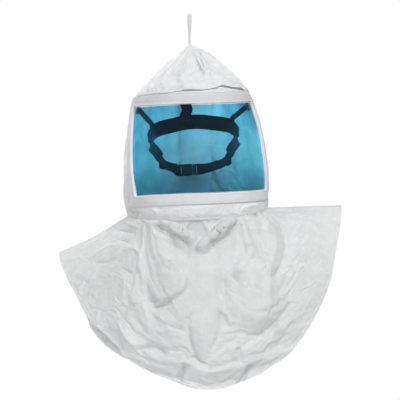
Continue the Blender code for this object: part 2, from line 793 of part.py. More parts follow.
def make_socket():
    size = (SOCKET_LONG, SOCKET_DEEP, SOCKET_HIGH)
    body = buckle_block("buckle_socket", size, -SOCKET_LONG / 2 - 0.6, bevel=1.2)
    cut(body, buckle_block("socket_mouth", (20.0, 5.2, 18.6), -9.9))
    for place, z in (("upper", 11.0), ("lower", -11.0)):
        cut(body, buckle_block(f"socket_{place}_window", (10.0, 5.2, 6.0), -12.0, z))
    cut(body, buckle_block("socket_strap_slot", (3.0, 12.0, 20.0), SOCKET_SLOT_X))
    return body


def make_plug():
    """The plug, with a middle tongue and two padded arms that reach into the socket."""
    size = (PLUG_LONG, PLUG_DEEP, PLUG_HIGH)
    body = buckle_block("buckle_plug", size, 0.7 + PLUG_LONG / 2, bevel=1.0)
    cut(body, buckle_block("plug_tongue", (19.0, 3.6, 4.4), -7.0), "UNION")
    for k, side in enumerate((1, -1)):
        arm = buckle_block(f"plug_arm_{k}", (16.0, PRONG_DEEP, 2.4), -5.4, side * 7.2)
        cut(body, arm, "UNION")
        pad = buckle_block(f"plug_pad_{k}", (6.5, PRONG_DEEP, 4.2), -12.2, side * 6.6, bevel=0.6)
        cut(body, pad, "UNION")
    cut(body, buckle_block("plug_slot", (3.2, 12.0, 19.8), PLUG_SLOT_X))
    return body


def nape_strap(name, theta_from, theta_to, bends, tail):
    """Nape webbing: round the ring, through the buckle's slot and folded back outside.

    bends are x and y in the buckle's frame; tail is the angle and distance out of the ring.
    """
    path = [
        ring(theta, 0.0, out)
        for theta, out in zip(steps(theta_from, theta_to, 8), steps(0.2, -2.2, 8))
    ]
    path += [BUCKLE_FRAME @ Vector((x, y, 0)) for x, y in bends]
    path += [ring(theta, 0.0, out) for theta, out in tail]
    return strap(name, path, [RING_UP] * len(path), WEB_WIDE)


swinging.append(make_socket())
swinging.append(nape_strap(
    "nape_strap_left", -137.0, -154.0,
    bends=[
        (-31.0, -6.2), (-26.6, -5.5), (-24.6, -5.2), (-23.6, -4.6), (SOCKET_SLOT_X, -3.6),
        (SOCKET_SLOT_X, 3.6), (-23.8, 4.7), (-25.0, 5.3), (-28.6, 5.2), (-32.0, 3.6),
    ],
    tail=[(-150.0, 4.0), (-145.0, 3.0)],
))
plug = make_plug()
nape_right = nape_strap(
    "nape_strap_right", 137.0, 163.0,
    bends=[
        (20.0, -4.9), (14.0, -4.5), (10.4, -4.6), (9.3, -4.1), (PLUG_SLOT_X, -3.2),
        (PLUG_SLOT_X, 3.2), (9.4, 4.2), (10.6, 4.7), (14.0, 4.6), (19.0, 3.8),
    ],
    tail=[(164.0, 3.4), (158.0, 3.2), (150.0, 3.0)],
)

# ---------------------------------------------------------------- air inlet at the nape

PORT_BORE, PORT_TUBE, PORT_FLANGE = 15.5, 18.8, 29.0   # radii of the spigot
PORT_NECK = 20.4         # radius of the spigot outside the flange
CLAMP_BORE = 19.2        # radius of the holes in the gasket, washer and nut
O_RING_AT, O_RING_SECTION = 21.5, 1.25   # distance out, and radius of its section
PORT_HOLE, DUCT_HOLE = 20.6, 19.4        # radii of the holes in the fabric and the duct

# Profiles: radius, distance outwards (+Y) from the fabric's outer face.
SPIGOT_PROFILE = [
    (PORT_BORE, -10.5), (PORT_TUBE, -10.5), (PORT_TUBE, 3.0), (PORT_FLANGE, 3.0),
    (PORT_FLANGE, 5.6), (PORT_FLANGE - 2.0, 6.6), (21.6, 6.6), (PORT_NECK, 9.0),
    (PORT_NECK, 20.0), (18.9, 20.0), (18.9, 23.0), (PORT_NECK, 23.0), (PORT_NECK, 29.0),
    (19.0, 34.0), (PORT_BORE, 34.0),
]
GASKET_PROFILE = [(CLAMP_BORE, 0.7), (28.0, 0.7), (28.0, 2.6), (CLAMP_BORE, 2.6)]
WASHER_PROFILE = [(CLAMP_BORE, -3.6), (30.0, -3.6), (30.0, -2.2), (CLAMP_BORE, -2.2)]
NUT_PROFILE = [
    (CLAMP_BORE, -9.6), (25.0, -9.6), (26.0, -8.6), (26.0, -4.1), (CLAMP_BORE, -4.1),
]
O_RING_PROFILE = [
    (PORT_NECK + O_RING_SECTION * math.cos(a), O_RING_AT + O_RING_SECTION * math.sin(a))
    for a in [math.pi * (k + 0.5) / 3 for k in range(6)]
]


def inlet_part(name, profile, look=PORT, segments=32, closed=True):
    return turned(name, profile, INLET, (0, 1, 0), look, segments, closed)


def inlet_hole(name, radius, start, end):
    """A plain cylinder on the inlet's axis, to cut with."""
    return inlet_part(name, [(0.0, start), (radius, start), (radius, end), (0.0, end)],
                      closed=False)


inlet_part("inlet_spigot", SPIGOT_PROFILE)
inlet_part("inlet_gasket", GASKET_PROFILE, RUBBER)
inlet_part("inlet_washer", WASHER_PROFILE)
inlet_part("inlet_lock_nut", NUT_PROFILE, segments=24)
inlet_part("inlet_o_ring", O_RING_PROFILE, RUBBER)

# the spigot passes through the back seam, where both side panels are cut away round it
port_hole = inlet_hole("port_hole", PORT_HOLE, -8.0, 8.0)
for panel in (side_left, side_right):
    cut(panel, port_hole)

# ---------------------------------------------------------------- duct up the back

DUCT_WIDE, DUCT_DEEP, DUCT_WALL = 62.0, 17.0, 1.0
DUCT_CORNER = 5          # bevel of the duct's section
DUCT_HEIGHTS = (296, 327, 358, 376, 400, 435, 475, 515, 545, 566, 584, 598)


def duct_point(z):
    """Middle of the duct at a height: straight by the inlet, then inside the back and crown."""
    if z <= 358:
        return Vector((INLET.x, INLET.y - 20.0, z))
    p = surface(90, z)
    normal = hood(90, z, 1.0) - p
    normal = Vector((0, normal.y, normal.z)).normalized()
    inset = 14.0 + 9.0 * clamp((z - 530.0) / 45.0)
    result = Vector((INLET.x, p.y, z)) - normal * inset
    if z < 400:
        result.y -= 4.0
    return result


def duct_section(inset):
    """Points (across, deep) of the duct's eight-sided section."""
    w, d, c = DUCT_WIDE / 2 - inset, DUCT_DEEP / 2 - inset, DUCT_CORNER
    return [
        (-w, -d + c), (-w + c, -d), (w - c, -d), (w, -d + c),
        (w, d - c), (w - c, d), (-w + c, d), (-w, d - c),
    ]


def make_duct(path):
    """Flattened tube, closed at the bottom and open at the top."""
    bm = bmesh.new()
    outer, inner = [], []
    across = Vector((1, 0, 0))
    for i, p in enumerate(path):
        tangent = path_tangent(path, i)
        normal = tangent.cross(across)
        for loops, inset in ((outer, 0.0), (inner, DUCT_WALL)):
            # the inner skin starts higher, which leaves a floor
            shift = tangent * (DUCT_WALL * 1.5 if loops is inner and i == 0 else 0.0)
            loops.append([
                bm.verts.new((p + shift + across * a + normal * b) * MM)
                for a, b in duct_section(inset)
            ])
    for loops in (outer, inner):
        for low, high in zip(loops, loops[1:]):
            for k in range(8):
                j = (k + 1) % 8
                quad = (low[k], low[j], high[j], high[k])
                bm.faces.new(quad if loops is outer else quad[::-1])
    bm.faces.new(outer[0][::-1])
    bm.faces.new(inner[0])
    for k in range(8):
        j = (k + 1) % 8
        bm.faces.new((outer[-1][k], outer[-1][j], inner[-1][j], inner[-1][k]))
    bmesh.ops.recalc_face_normals(bm, faces=bm.faces)
    return finish_object("air_duct", bm, TAPE, smooth_angle=40)


duct_path = [duct_point(z) for z in DUCT_HEIGHTS]
cut(make_duct(duct_path), inlet_hole("duct_hole", DUCT_HOLE, -21.0, 6.0))

# foam block on the open end of the duct
duct_end_along = (duct_path[-1] - duct_path[-2]).normalized()
block(
    "duct_diffuser", (DUCT_WIDE, DUCT_DEEP, 14.0),
    frame_at(duct_path[-1] + duct_end_along * 7.6, Vector((1, 0, 0)), duct_end_along),
    FOAM, bevel=2.5,
)

# ---------------------------------------------------------------- joints

for joint_name, joint_at, moving in (
    ("loop_hinge", LOOP_PIVOT, [hang_loop]),
    ("cape_front_hinge", FRONT_HINGE, [cape_front]),
    ("cape_rear_hinge", REAR_HINGE, [cape_rear]),
    ("harness_swing", SWING_AXIS, swinging),
    ("buckle_slide", BUCKLE_AT, [plug, nape_right]),
    ("crown_slide", crown_glide_at, [crown_triglide]),
    ("triglide_left_slide", ring(-GLIDE_THETA), [triglide_left]),
    ("triglide_right_slide", ring(GLIDE_THETA), [triglide_right]),
):
    joint_empty(joint_name, joint_at, moving)
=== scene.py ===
# The fabric hood of an air-fed respirator: hood, window, cape, bib, head harness and air inlet.
# Every soft piece is a fine sheet with its folds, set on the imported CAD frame.
# Lengths are mm in the hood's own frame: x to the right as seen from the front, y to the back,
# z up. "Left" is -x. Angles run round z: 0 right, 90 back, 180 left, 270 front.
from contextlib import contextmanager
from math import atan2, hypot

import bmesh
import bpy
import numpy as np
from mathutils import Matrix, Vector
from numpy import concatenate, cos, exp, linspace, maximum, minimum, pi, radians, sin
from numpy.linalg import norm


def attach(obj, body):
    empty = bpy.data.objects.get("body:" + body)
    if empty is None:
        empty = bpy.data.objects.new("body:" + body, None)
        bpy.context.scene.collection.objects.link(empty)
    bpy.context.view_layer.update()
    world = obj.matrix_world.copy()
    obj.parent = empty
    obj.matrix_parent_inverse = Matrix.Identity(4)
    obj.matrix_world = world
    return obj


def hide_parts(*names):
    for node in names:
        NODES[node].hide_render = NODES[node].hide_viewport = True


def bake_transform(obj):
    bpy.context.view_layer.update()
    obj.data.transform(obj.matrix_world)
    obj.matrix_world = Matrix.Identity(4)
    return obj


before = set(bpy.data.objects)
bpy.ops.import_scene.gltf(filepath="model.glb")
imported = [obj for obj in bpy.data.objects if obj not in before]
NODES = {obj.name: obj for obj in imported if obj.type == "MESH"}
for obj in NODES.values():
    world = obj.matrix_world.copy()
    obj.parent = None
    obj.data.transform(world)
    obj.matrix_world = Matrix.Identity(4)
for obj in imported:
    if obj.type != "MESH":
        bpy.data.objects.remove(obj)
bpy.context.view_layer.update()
HOOD_Y = 12.35          # the hood's own middle lies this far behind the row's origin
FRONT_AXIS_X = np.array([1.0, 0.0, 0.0])

# ---------------------------------------------------------------- the hood's form

# height z, then the hood's left, right, front and back limits there
SECTIONS = np.array([
    (280, -128, 122, -124, 118), (310, -133, 125, -134, 124), (338, -138, 127, -143, 128),
    (361, -143, 126, -150, 130), (407, -145, 127, -157, 132), (452, -142, 123, -157, 131),
    (498, -137, 115, -153, 128), (530, -132, 105, -146, 124), (556, -122, 96, -136, 118),
    (578, -103, 81, -112, 104), (600, -84, 59, -84, 84), (623, -61, 35, -52, 58),
    (640, -42, 12, -26, 34), (652, -27, -15, -7, 9),
], float)
FRONT_POWER, BACK_POWER = 2.45, 2.25        # squareness of the plan, as superellipse powers
INLET_X, INLET_Z, INLET_Y = -9.0, 327.0, 125.0

# height z and the share of the half width at which the window's edge stands
WINDOW_LEFT = ((367, -0.815), (455, -0.895), (538, -0.93))
WINDOW_RIGHT = ((367, 0.965), (455, 0.955), (538, 0.93))
WINDOW_LOW = (366.5, 379.5)                 # heights of the lower edge, left and right
WINDOW_HIGH = (535.0, 545.0)                # heights of the upper edge, left and right
WINDOW_SAG = 3.5
WINDOW_WIDTH, WINDOW_HEIGHT = 320.0, 165.0  # nominal size along the surface
BINDING_WIDTH = 19.0
BINDING_ACROSS, BINDING_UP = 0.072, BINDING_WIDTH / WINDOW_HEIGHT   # in window coordinates


def unit(vector):
    vector = np.asarray(vector, float)
    return vector / maximum(norm(vector, axis=-1, keepdims=True), 1e-12)


def smooth(x, start=0.0, end=1.0):
    share = np.clip((x - start) / (end - start), 0.0, 1.0)
    return share * share * (3 - 2 * share)


def bell(x, centre, width, power=2):
    return exp(-np.abs((x - centre) / width) ** power)


def section(z):
    """Centre x, half width, and depths to the front and to the back, at height z."""
    z = np.clip(z, SECTIONS[0, 0], SECTIONS[-1, 0])
    last = len(SECTIONS) - 1
    low = np.clip(np.searchsorted(SECTIONS[:, 0], z, side="right") - 1, 0, last - 1)
    stations = maximum(low - 1, 0), low, low + 1, minimum(low + 2, last)
    z0, z1, z2, z3 = (SECTIONS[i, 0] for i in stations)
    span = z2 - z1
    step = (z - z1) / span
    limits = []
    for column in SECTIONS.T[1:]:
        before, start, end, after = (column[i] for i in stations)
        slope_in = (end - before) / maximum(z2 - z0, 1e-6) * span
        slope_out = (after - start) / maximum(z3 - z1, 1e-6) * span
        limits.append(
            (2 * step**3 - 3 * step**2 + 1) * start + (step**3 - 2 * step**2 + step) * slope_in
            + (-2 * step**3 + 3 * step**2) * end + (step**3 - step**2) * slope_out
        )
    left, right, front, back = limits
    return (left + right) / 2, (right - left) / 2, -front, back


def surface(angle, z):
    """Points of the plain form, flattened round the air inlet."""
    angle, z = np.broadcast_arrays(np.asarray(angle, float), np.asarray(z, float))
    centre, half_width, front, back = section(z)
    cosine, sine = cos(radians(angle)), sin(radians(angle))
    power = np.where(sine < 0, FRONT_POWER, BACK_POWER)
    depth = np.where(sine < 0, front, back)
    x = centre + half_width * np.sign(cosine) * np.abs(cosine) ** (2 / power)
    y = depth * np.sign(sine) * np.abs(sine) ** (2 / power)
    near = smooth(82.0 - np.hypot(x - INLET_X, z - INLET_Z), 0.0, 34.0)
    y = np.where(sine > 0, y + (INLET_Y - y) * near, y)
    return np.stack([x, y, z], -1)


def hood_normal(angle, z):
    around = surface(angle + 1.5, z) - surface(angle - 1.5, z)
    upward = surface(angle, z + 2) - surface(angle, z - 2)
    return unit(np.cross(around, upward))


def on_hood(angle, z, lift=0.0):
    return surface(angle, z) + hood_normal(angle, z) * np.asarray(lift, float)[..., None]


def share_at(table, z):
    """The quadratic through a window edge's three stations."""
    (z0, share0), (z1, share1), (z2, share2) = table
    z = np.clip(z, z0 - 60, z2 + 30)
    part0 = (z - z1) * (z - z2) / ((z0 - z1) * (z0 - z2))
    part1 = (z - z0) * (z - z2) / ((z1 - z0) * (z1 - z2))
    part2 = (z - z0) * (z - z1) / ((z2 - z0) * (z2 - z1))
    return np.clip(share0 * part0 + share1 * part1 + share2 * part2, -0.985, 0.985)


def edge_turn(table, z):
    """Angle between the x axis and the window's edge, on the edge's own side."""
    share = np.abs(share_at(table, maximum(z, 367)))
    return np.degrees(np.arccos(minimum(share ** (FRONT_POWER / 2), 1.0)))


def left_angle(z):
    return 180 + edge_turn(WINDOW_LEFT, z)


def right_angle(z):
    return 360 - edge_turn(WINDOW_RIGHT, z)


# Window coordinates: across runs 0 to 1 from left to right, up 0 to 1 from bottom to top.

def window_z(across, up):
    low = WINDOW_LOW[0] + (WINDOW_LOW[1] - WINDOW_LOW[0]) * across
    high = WINDOW_HIGH[0] + (WINDOW_HIGH[1] - WINDOW_HIGH[0]) * across
    high = high - WINDOW_SAG * 4 * across * (1 - across)
    return low + (high - low) * up


def window_at(across, up):
    """Angle and height of a point of the window."""
    z = window_z(across, up)
    return left_angle(z) + (right_angle(z) - left_angle(z)) * across, z


def on_window(across, up, lift=0.0):
    return on_hood(*window_at(across, up), lift)


def window_place(angle, z):
    """Window coordinates of a point of the wall."""
    left, right = left_angle(z), right_angle(z)
    across = (np.where(angle < 90, angle + 360, angle) - left) / (right - left)
    low, high = window_z(across, 0.0), window_z(across, 1.0)
    return across, (z - low) / (high - low)


def crown_line(angle):
    return 558.5 + 5.0 * cos(radians(angle))


def neck_line(angle):
    sine = sin(radians(angle))
    return 338.0 + 7.5 * cos(radians(angle)) - np.where(sine > 0, 44.0, 12.0) * sine * sine


# ---------------------------------------------------------------- folds and unevenness

EYE_DISTANCE, EYE_HEIGHT = 3000.0, 361.0    # the camera's, from the row's origin


def shrink_at(y):
    """How much the perspective shrinks things at depth y."""
    return EYE_DISTANCE / (EYE_DISTANCE + y + HOOD_Y)


def seen_from_front(points):
    """x and z of points projected from the camera on the upright plane at the row's origin."""
    scale = shrink_at(points[..., 1])
    return points[..., 0] * scale, EYE_HEIGHT + (points[..., 2] - EYE_HEIGHT) * scale


def placed_at_depth(x, z, y):
    """The points at depth y whose front projection is x, z."""
    scale = shrink_at(y)
    placed = x / scale, y, EYE_HEIGHT + (z - EYE_HEIGHT) / scale
    return np.stack(np.broadcast_arrays(*placed), -1)


def curve_through(points, steps):
    """Catmull-Rom curve through a few points."""
    knots = np.array(points, float)
    knots = np.vstack([2 * knots[0] - knots[1], knots, 2 * knots[-1] - knots[-2]])
    curve = []
    for i in range(1, len(knots) - 2):
        before, start, end, after = knots[i - 1:i + 3]
        for step in linspace(0, 1, steps, endpoint=False):
            curve.append(0.5 * (
                2 * start + (end - before) * step
                + (2 * before - 5 * start + 4 * end - after) * step**2
                + (3 * start - before - 3 * end + after) * step**3
            ))
    curve.append(knots[-2])
    return np.array(curve)


def read_folds(text):
    """Folds from lines of 'height left right [power start end]: x z, x z, ...'.

    The points are in the front projection. left and right are the widths either side of the
    way the fold runs; a small one makes a steep side. power sharpens the profile, start and
    end are the shares of the length over which it fades in and out."""
    folds = []
    for line in text.strip().splitlines():
        if not line.startswith("#"):
            shape, route = line.split(":")
            route = [[float(word) for word in point.split()] for point in route.split(",")]
            folds.append((route, *[float(word) for word in shape.split()]))
    return folds


def fold_relief(x, z, route, height, left, right, power=1.25, start=0.25, end=0.25):
    curve = curve_through(route, 7)
    spans = np.diff(curve, axis=0)
    lengths = norm(spans, axis=1)
    begins = concatenate([[0], np.cumsum(lengths)])
    reach = 5.0 * max(left, right)
    low, high = curve.min(0) - reach, curve.max(0) + reach
    near = (x > low[0]) & (x < high[0]) & (z > low[1]) & (z < high[1])
    relief = np.zeros(x.shape)
    if not near.any():
        return relief
    x, z = x[near], z[near]
    best, along, side = np.full(x.shape, 1e18), np.zeros(x.shape), np.zeros(x.shape)
    for i, span in enumerate(spans):
        away_x, away_z = x - curve[i, 0], z - curve[i, 1]
        share = np.clip((away_x * span[0] + away_z * span[1]) / (span @ span + 1e-12), 0, 1)
        away_x, away_z = away_x - share * span[0], away_z - share * span[1]
        square = away_x * away_x + away_z * away_z
        closer = square < best
        best = np.where(closer, square, best)
        along = np.where(closer, begins[i] + share * lengths[i], along)
        side = np.where(closer, span[0] * away_z - span[1] * away_x, side)
    along = along / begins[-1]
    width = np.where(side < 0, right, left)
    fade = smooth(along, 0.0, max(start, 1e-3)) * smooth(1 - along, 0.0, max(end, 1e-3))
    relief[near] = height * exp(-((np.sqrt(best) / width) ** power)) * fade
    return relief


def folds_relief(points, folds):
    x, z = seen_from_front(points)
    return sum(fold_relief(x, z, *fold) for fold in folds)


def waves(points, length, count, seed):
    """Smooth random field, about -1 to 1, from plane waves of about the given length."""
    rng = np.random.default_rng(seed)
    total = np.zeros(points.shape[:-1])
    for _ in range(count):
        way = rng.normal(size=3)
        way /= norm(way)
        rate = rng.uniform(0.6, 1.6) / length
        total += sin(2 * pi * rate * (points @ way) + rng.uniform(0, 2 * pi))
    return total / np.sqrt(count) / 1.2


def crumple(points, length, seed):
    """Crisp facets, about -1 to 1: triangle waves in many directions, each in patches."""
    count = 9
    rng = np.random.default_rng(seed)
    total = np.zeros(points.shape[:-1])
    warp = np.stack([waves(points, length * 2.2, 5, seed + 50 + k) for k in range(3)], -1)
    warped = points + warp * length * 0.35
    for k in range(count):
        way = rng.normal(size=3)
        way /= norm(way)
        rate = rng.uniform(0.5, 1.5) / length
        phase = rate * (warped @ way) + rng.uniform(0, 1)
        triangle = 4 * np.abs(phase - np.floor(phase + 0.5)) - 1
        total += triangle * smooth(waves(points, length * 2.6, 4, seed + 90 + k), -0.1, 0.9)
    return total / np.sqrt(count)


def unevenness(points, seed):
    return (1.3 * waves(points, 95.0, 9, seed) + 0.75 * crumple(points, 62.0, seed + 3)
            + 0.38 * crumple(points, 27.0, seed + 7) + 0.12 * crumple(points, 12.0, seed + 11))


# ---------------------------------------------------------------- material helpers

class Value:
    """An output socket on which +, - and * make math nodes."""

    def __init__(self, graph, socket):
        self.graph, self.socket = graph, socket

    def __add__(self, other):
        return self.graph.math("ADD", self, other)

    def __sub__(self, other):
        return self.graph.math("SUBTRACT", self, other)

    def __rsub__(self, other):
        return self.graph.math("SUBTRACT", other, self)

    def __mul__(self, other):
        return self.graph.math("MULTIPLY", self, other)


class Graph:
    """The node tree of a new material, or of a world."""

    def __init__(self, owner, output="OutputMaterial"):
        self.owner = owner
        owner.use_nodes = True
        self.tree = owner.node_tree
        self.tree.nodes.clear()
        self.output = self.node(output)

    def node(self, kind, inputs=(), **settings):
        node = self.tree.nodes.new("ShaderNode" + kind)
        for key, value in settings.items():
            setattr(node, key, value)
        for key, value in dict(inputs).items():
            if isinstance(value, Value):
                self.tree.links.new(value.socket, node.inputs[key])
            else:
                node.inputs[key].default_value = value
        return node

    def value(self, kind, inputs=(), output=0, **settings):
        return Value(self, self.node(kind, inputs, **settings).outputs[output])

    def place(self):
        return self.value("TexCoord", output="Object")

    def math(self, operation, first, second=0.0, clamp=False):
        return self.value("Math", {0: first, 1: second}, operation=operation, use_clamp=clamp)

    def ramp(self, factor, *stops):
        """Two stops, each a position and a colour."""
        node = self.node("ValToRGB", {"Fac": factor})
        for element, (position, colour) in zip(node.color_ramp.elements, stops):
            element.position = position
            element.color = (*colour, 1.0)
        return Value(self, node.outputs["Color"])

    def noise(self, place, scale, detail=3.0, rough=0.55, distortion=0.0):
        return self.value("TexNoise", {"Vector": place, "Scale": scale, "Detail": detail,
                                       "Roughness": rough, "Distortion": distortion}, "Fac")

    def mix(self, factor, first, second, blend="MIX"):
        return self.value("Mix", {"Factor": factor, 6: first, 7: second}, 2,
                          data_type="RGBA", blend_type=blend)

    def darken(self, colour, factor):
        grey = self.value("CombineXYZ", {"X": factor, "Y": factor, "Z": factor})
        return self.mix(1.0, colour, grey, "MULTIPLY")

    def ease(self, value, low, high, start, end):
        """value from low to high, mapped to start to end with soft ends."""
        inputs = {"Value": value, "From Min": low, "From Max": high,
                  "To Min": start, "To Max": end}
        return self.value("MapRange", inputs, interpolation_type="SMOOTHSTEP")

    def bump(self, height, strength, distance, normal=None):
        inputs = {"Height": height, "Strength": strength, "Distance": distance}
        if normal is not None:
            inputs["Normal"] = normal
        return self.value("Bump", inputs, "Normal")

    def mix_shader(self, factor, first, second):
        return self.value("MixShader", {0: factor, 1: first, 2: second})

    def finish(self, shader):
        self.tree.links.new(shader.socket, self.output.inputs["Surface"])
        return self.owner


BLACK, WHITE = (0, 0, 0), (1, 1, 1)


def new_graph(name):
    return Graph(bpy.data.materials.new(name))


def nonwoven(name, tone, tint=(1.0, 1.0, 1.0), through=0.3, crisp=1.0, top=None):
    """Flash-spun sheet: matt, mottled with fibres, finely creased. through is the share of
    light let through, crisp the strength of its creases, top the factor of the painted shade
    that darkens it at the window's upper edge, under the crown's overhang."""
    graph = new_graph(name)
    place = graph.place()
    fibre = graph.noise(place, scale=420.0, detail=5.0, rough=0.62, distortion=1.4)
    cloud = graph.noise(place, scale=55.0, detail=4.0, rough=0.55, distortion=0.8)
    broad = graph.noise(place, scale=9.0, detail=2.0, rough=0.5)
    facets = graph.value("TexVoronoi", {"Vector": place, "Scale": 38.0, "Randomness": 1.0},
                         "Distance", feature="DISTANCE_TO_EDGE")
    dimples = graph.value("TexVoronoi", {"Vector": place, "Scale": 95.0, "Randomness": 1.0},
                          "Distance", feature="F1")
    dark, pale = tone * 0.955, tone * 1.03
    colour = graph.ramp(cloud, (0.3, [dark * part for part in tint]),
                        (0.7, [min(pale * part, 1.0) for part in tint]))
    fibre_colour = (tone * 0.86, tone * 0.87, tone * 0.89, 1.0)
    patch_colour = (tone * 0.9, tone * 0.88, tone * 0.85, 1.0)
    colour = graph.mix(fibre * 0.16, colour, fibre_colour)
    colour = graph.mix(graph.math("GREATER_THAN", broad, 0.60) * 0.05, colour, patch_colour)
    # painted shade: the colour darkens by the factor top towards the window's upper edge, under the crown
    if top is not None:
        height = graph.value("SeparateXYZ", {"Vector": place}, 2)
        shade = graph.ease(height, low=0.528, high=0.543, start=1.0, end=top)
        colour = graph.darken(colour, shade)
    normal = graph.bump(fibre, strength=0.35 * crisp, distance=0.0003)
    normal = graph.bump(facets, strength=0.55 * crisp, distance=0.0012, normal=normal)
    normal = graph.bump(dimples, strength=0.30 * crisp, distance=0.0006, normal=normal)
    normal = graph.bump(cloud, strength=0.30 * crisp, distance=0.0012, normal=normal)
    face = graph.value("BsdfPrincipled", {
        "Base Color": colour, "Roughness": cloud * 0.25 + 0.5, "Normal": normal,
        "Specular IOR Level": 0.35, "Sheen Weight": 0.08})
    glow = graph.value("BsdfTranslucent", {"Color": colour, "Normal": normal})
    return graph.finish(graph.mix_shader(through, face, glow))


def woven(name, base, light, rows, cols, diagonal=True, rough=0.85, depth=0.00015, sheen=0.25):
    """Woven tape. rows and cols count its threads per cm, along and across; light is the
    colour mixed in on its rib tops, as a painted highlight, and in patches of wear."""
    graph = new_graph(name)
    uv_map = graph.value("UVMap", output="UV")
    place = graph.place()
    split = graph.node("SeparateXYZ", {"Vector": uv_map})
    across, along = (Value(graph, split.outputs[k]) for k in (0, 1))
    bent = across + graph.noise(place, scale=160.0, detail=2.0) * 0.05
    rib_phase = bent * cols + along * (rows if diagonal else 0.0)
    pick_phase = along * (rows * 2.0) + across * (0.0 if diagonal else cols)
    rib = graph.math("SINE", rib_phase * (2 * pi))
    pick = graph.math("SINE", pick_phase * (2 * pi))
    weave = rib * 0.62 + pick * 0.38
    fuzz = graph.noise(place, scale=1500.0, detail=4.0, rough=0.7)
    wear = graph.noise(place, scale=60.0, detail=3.0, rough=0.6)
    # painted highlight: the tape is mixed towards its light colour on the weave's rib tops, and in patches of
    # wear
    pale = graph.math("ADD", (weave + 1.0) * 0.32, wear * 0.35, clamp=True)
    face = graph.value("BsdfPrincipled", {
        "Base Color": graph.mix(pale, (*base, 1.0), (*light, 1.0)), "Roughness": rough,
        "Normal": graph.bump(weave + fuzz * 0.5, strength=0.9, distance=depth),
        "Sheen Weight": sheen, "Sheen Roughness": 0.4,
        "Specular IOR Level": 0.3 if sheen > 0.1 else 0.12})
    return graph.finish(face)


def moulded(name, base, rough=0.42, grain=900.0, wear=0.12, shine=0.5):
    """Moulded plastic or rubber: fine grain with slight scuffs."""
    graph = new_graph(name)
    place = graph.place()
    pits = graph.noise(place, scale=grain, detail=3.0, rough=0.6)
    stretched = graph.value("Mapping", {"Vector": place, "Scale": (1.0, 1.0, 9.0)})
    scuff = graph.noise(stretched, scale=130.0, detail=5.0, rough=0.7)
    worn = graph.ramp(scuff, (0.55, BLACK), (0.72, WHITE))
    worn_colour = (*[min(part * 3 + 0.05, 1) for part in base], 1.0)
    face = graph.value("BsdfPrincipled", {
        "Base Color": graph.mix(worn * wear, (*base, 1.0), worn_colour),
        "Roughness": worn * 0.2 + (pits * 0.12 + (rough - 0.06)),
        "Normal": graph.bump(pits, strength=0.35, distance=0.0001),
        "Specular IOR Level": shine})
    return graph.finish(face)


def foam_material(name, base):
    graph = new_graph(name)
    cells = graph.value("TexVoronoi", {"Vector": graph.place(), "Scale": 900.0}, "Distance",
                        feature="F1")
    face = graph.value("BsdfPrincipled", {
        # painted shade: the colour darkens towards each pore's middle, where the bump sinks
        "Base Color": graph.ramp(cells, (0.1, [part * 0.35 for part in base]), (0.6, base)),
        "Roughness": 0.95, "Normal": graph.bump(cells, strength=1.0, distance=0.0006)})
    return graph.finish(face)


def film_tones(graph, place, tone, grey):
    """The film's tone with painted light and shade: a greyer middle as a painted reflected veil,
    painted highlights left and right, and painted shade at the foot and the upper corners.
    """
    split = graph.node("SeparateXYZ", {"Vector": place})
    x, z = (Value(graph, split.outputs[k]) for k in (0, 2))

    def square(value, centre, radius):
        share = graph.math("DIVIDE", value - centre, radius)
        return graph.math("POWER", graph.math("ABSOLUTE", share), 2.0)

    def spot(centre_x, centre_z, radius_x, radius_z):
        spread = square(x, centre_x, radius_x) + square(z, centre_z, radius_z)
        return graph.math("POWER", 2.718, spread * -1.0)

    drift = (graph.noise(place, scale=14.0, detail=2.0, rough=0.5) - 0.5) * 0.5
    # painted reflection: the middle is mixed towards grey, in place of a reflected veil
    middle = graph.math("ADD", spot(-0.008, 0.44, 0.070, 0.16), drift, clamp=True)
    tone = graph.mix(middle, tone, (*grey, 1.0))
    # painted highlights: pale cyan patches left and right, for the lit inner walls seen through the film
    painted_side_highlights = graph.math("ADD", spot(0.090, 0.446, 0.028, 0.052),
                       spot(-0.104, 0.450, 0.014, 0.055) * 0.5, clamp=True)
    tone = graph.mix(painted_side_highlights * 0.70, tone, (0.22, 0.82, 1.0, 1.0))
    # painted shade: darker towards the window's foot and its two upper corners
    foot = graph.ease(z + drift * 0.02, low=0.376, high=0.436, start=0.60, end=1.0)
    painted_foot_and_corner_shade = foot * (1.0 - spot(0.096, 0.545, 0.030, 0.026) * 0.62)
    painted_foot_and_corner_shade = painted_foot_and_corner_shade * (1.0 - spot(-0.128, 0.540, 0.028, 0.026) * 0.45)
    return graph.darken(tone, painted_foot_and_corner_shade)


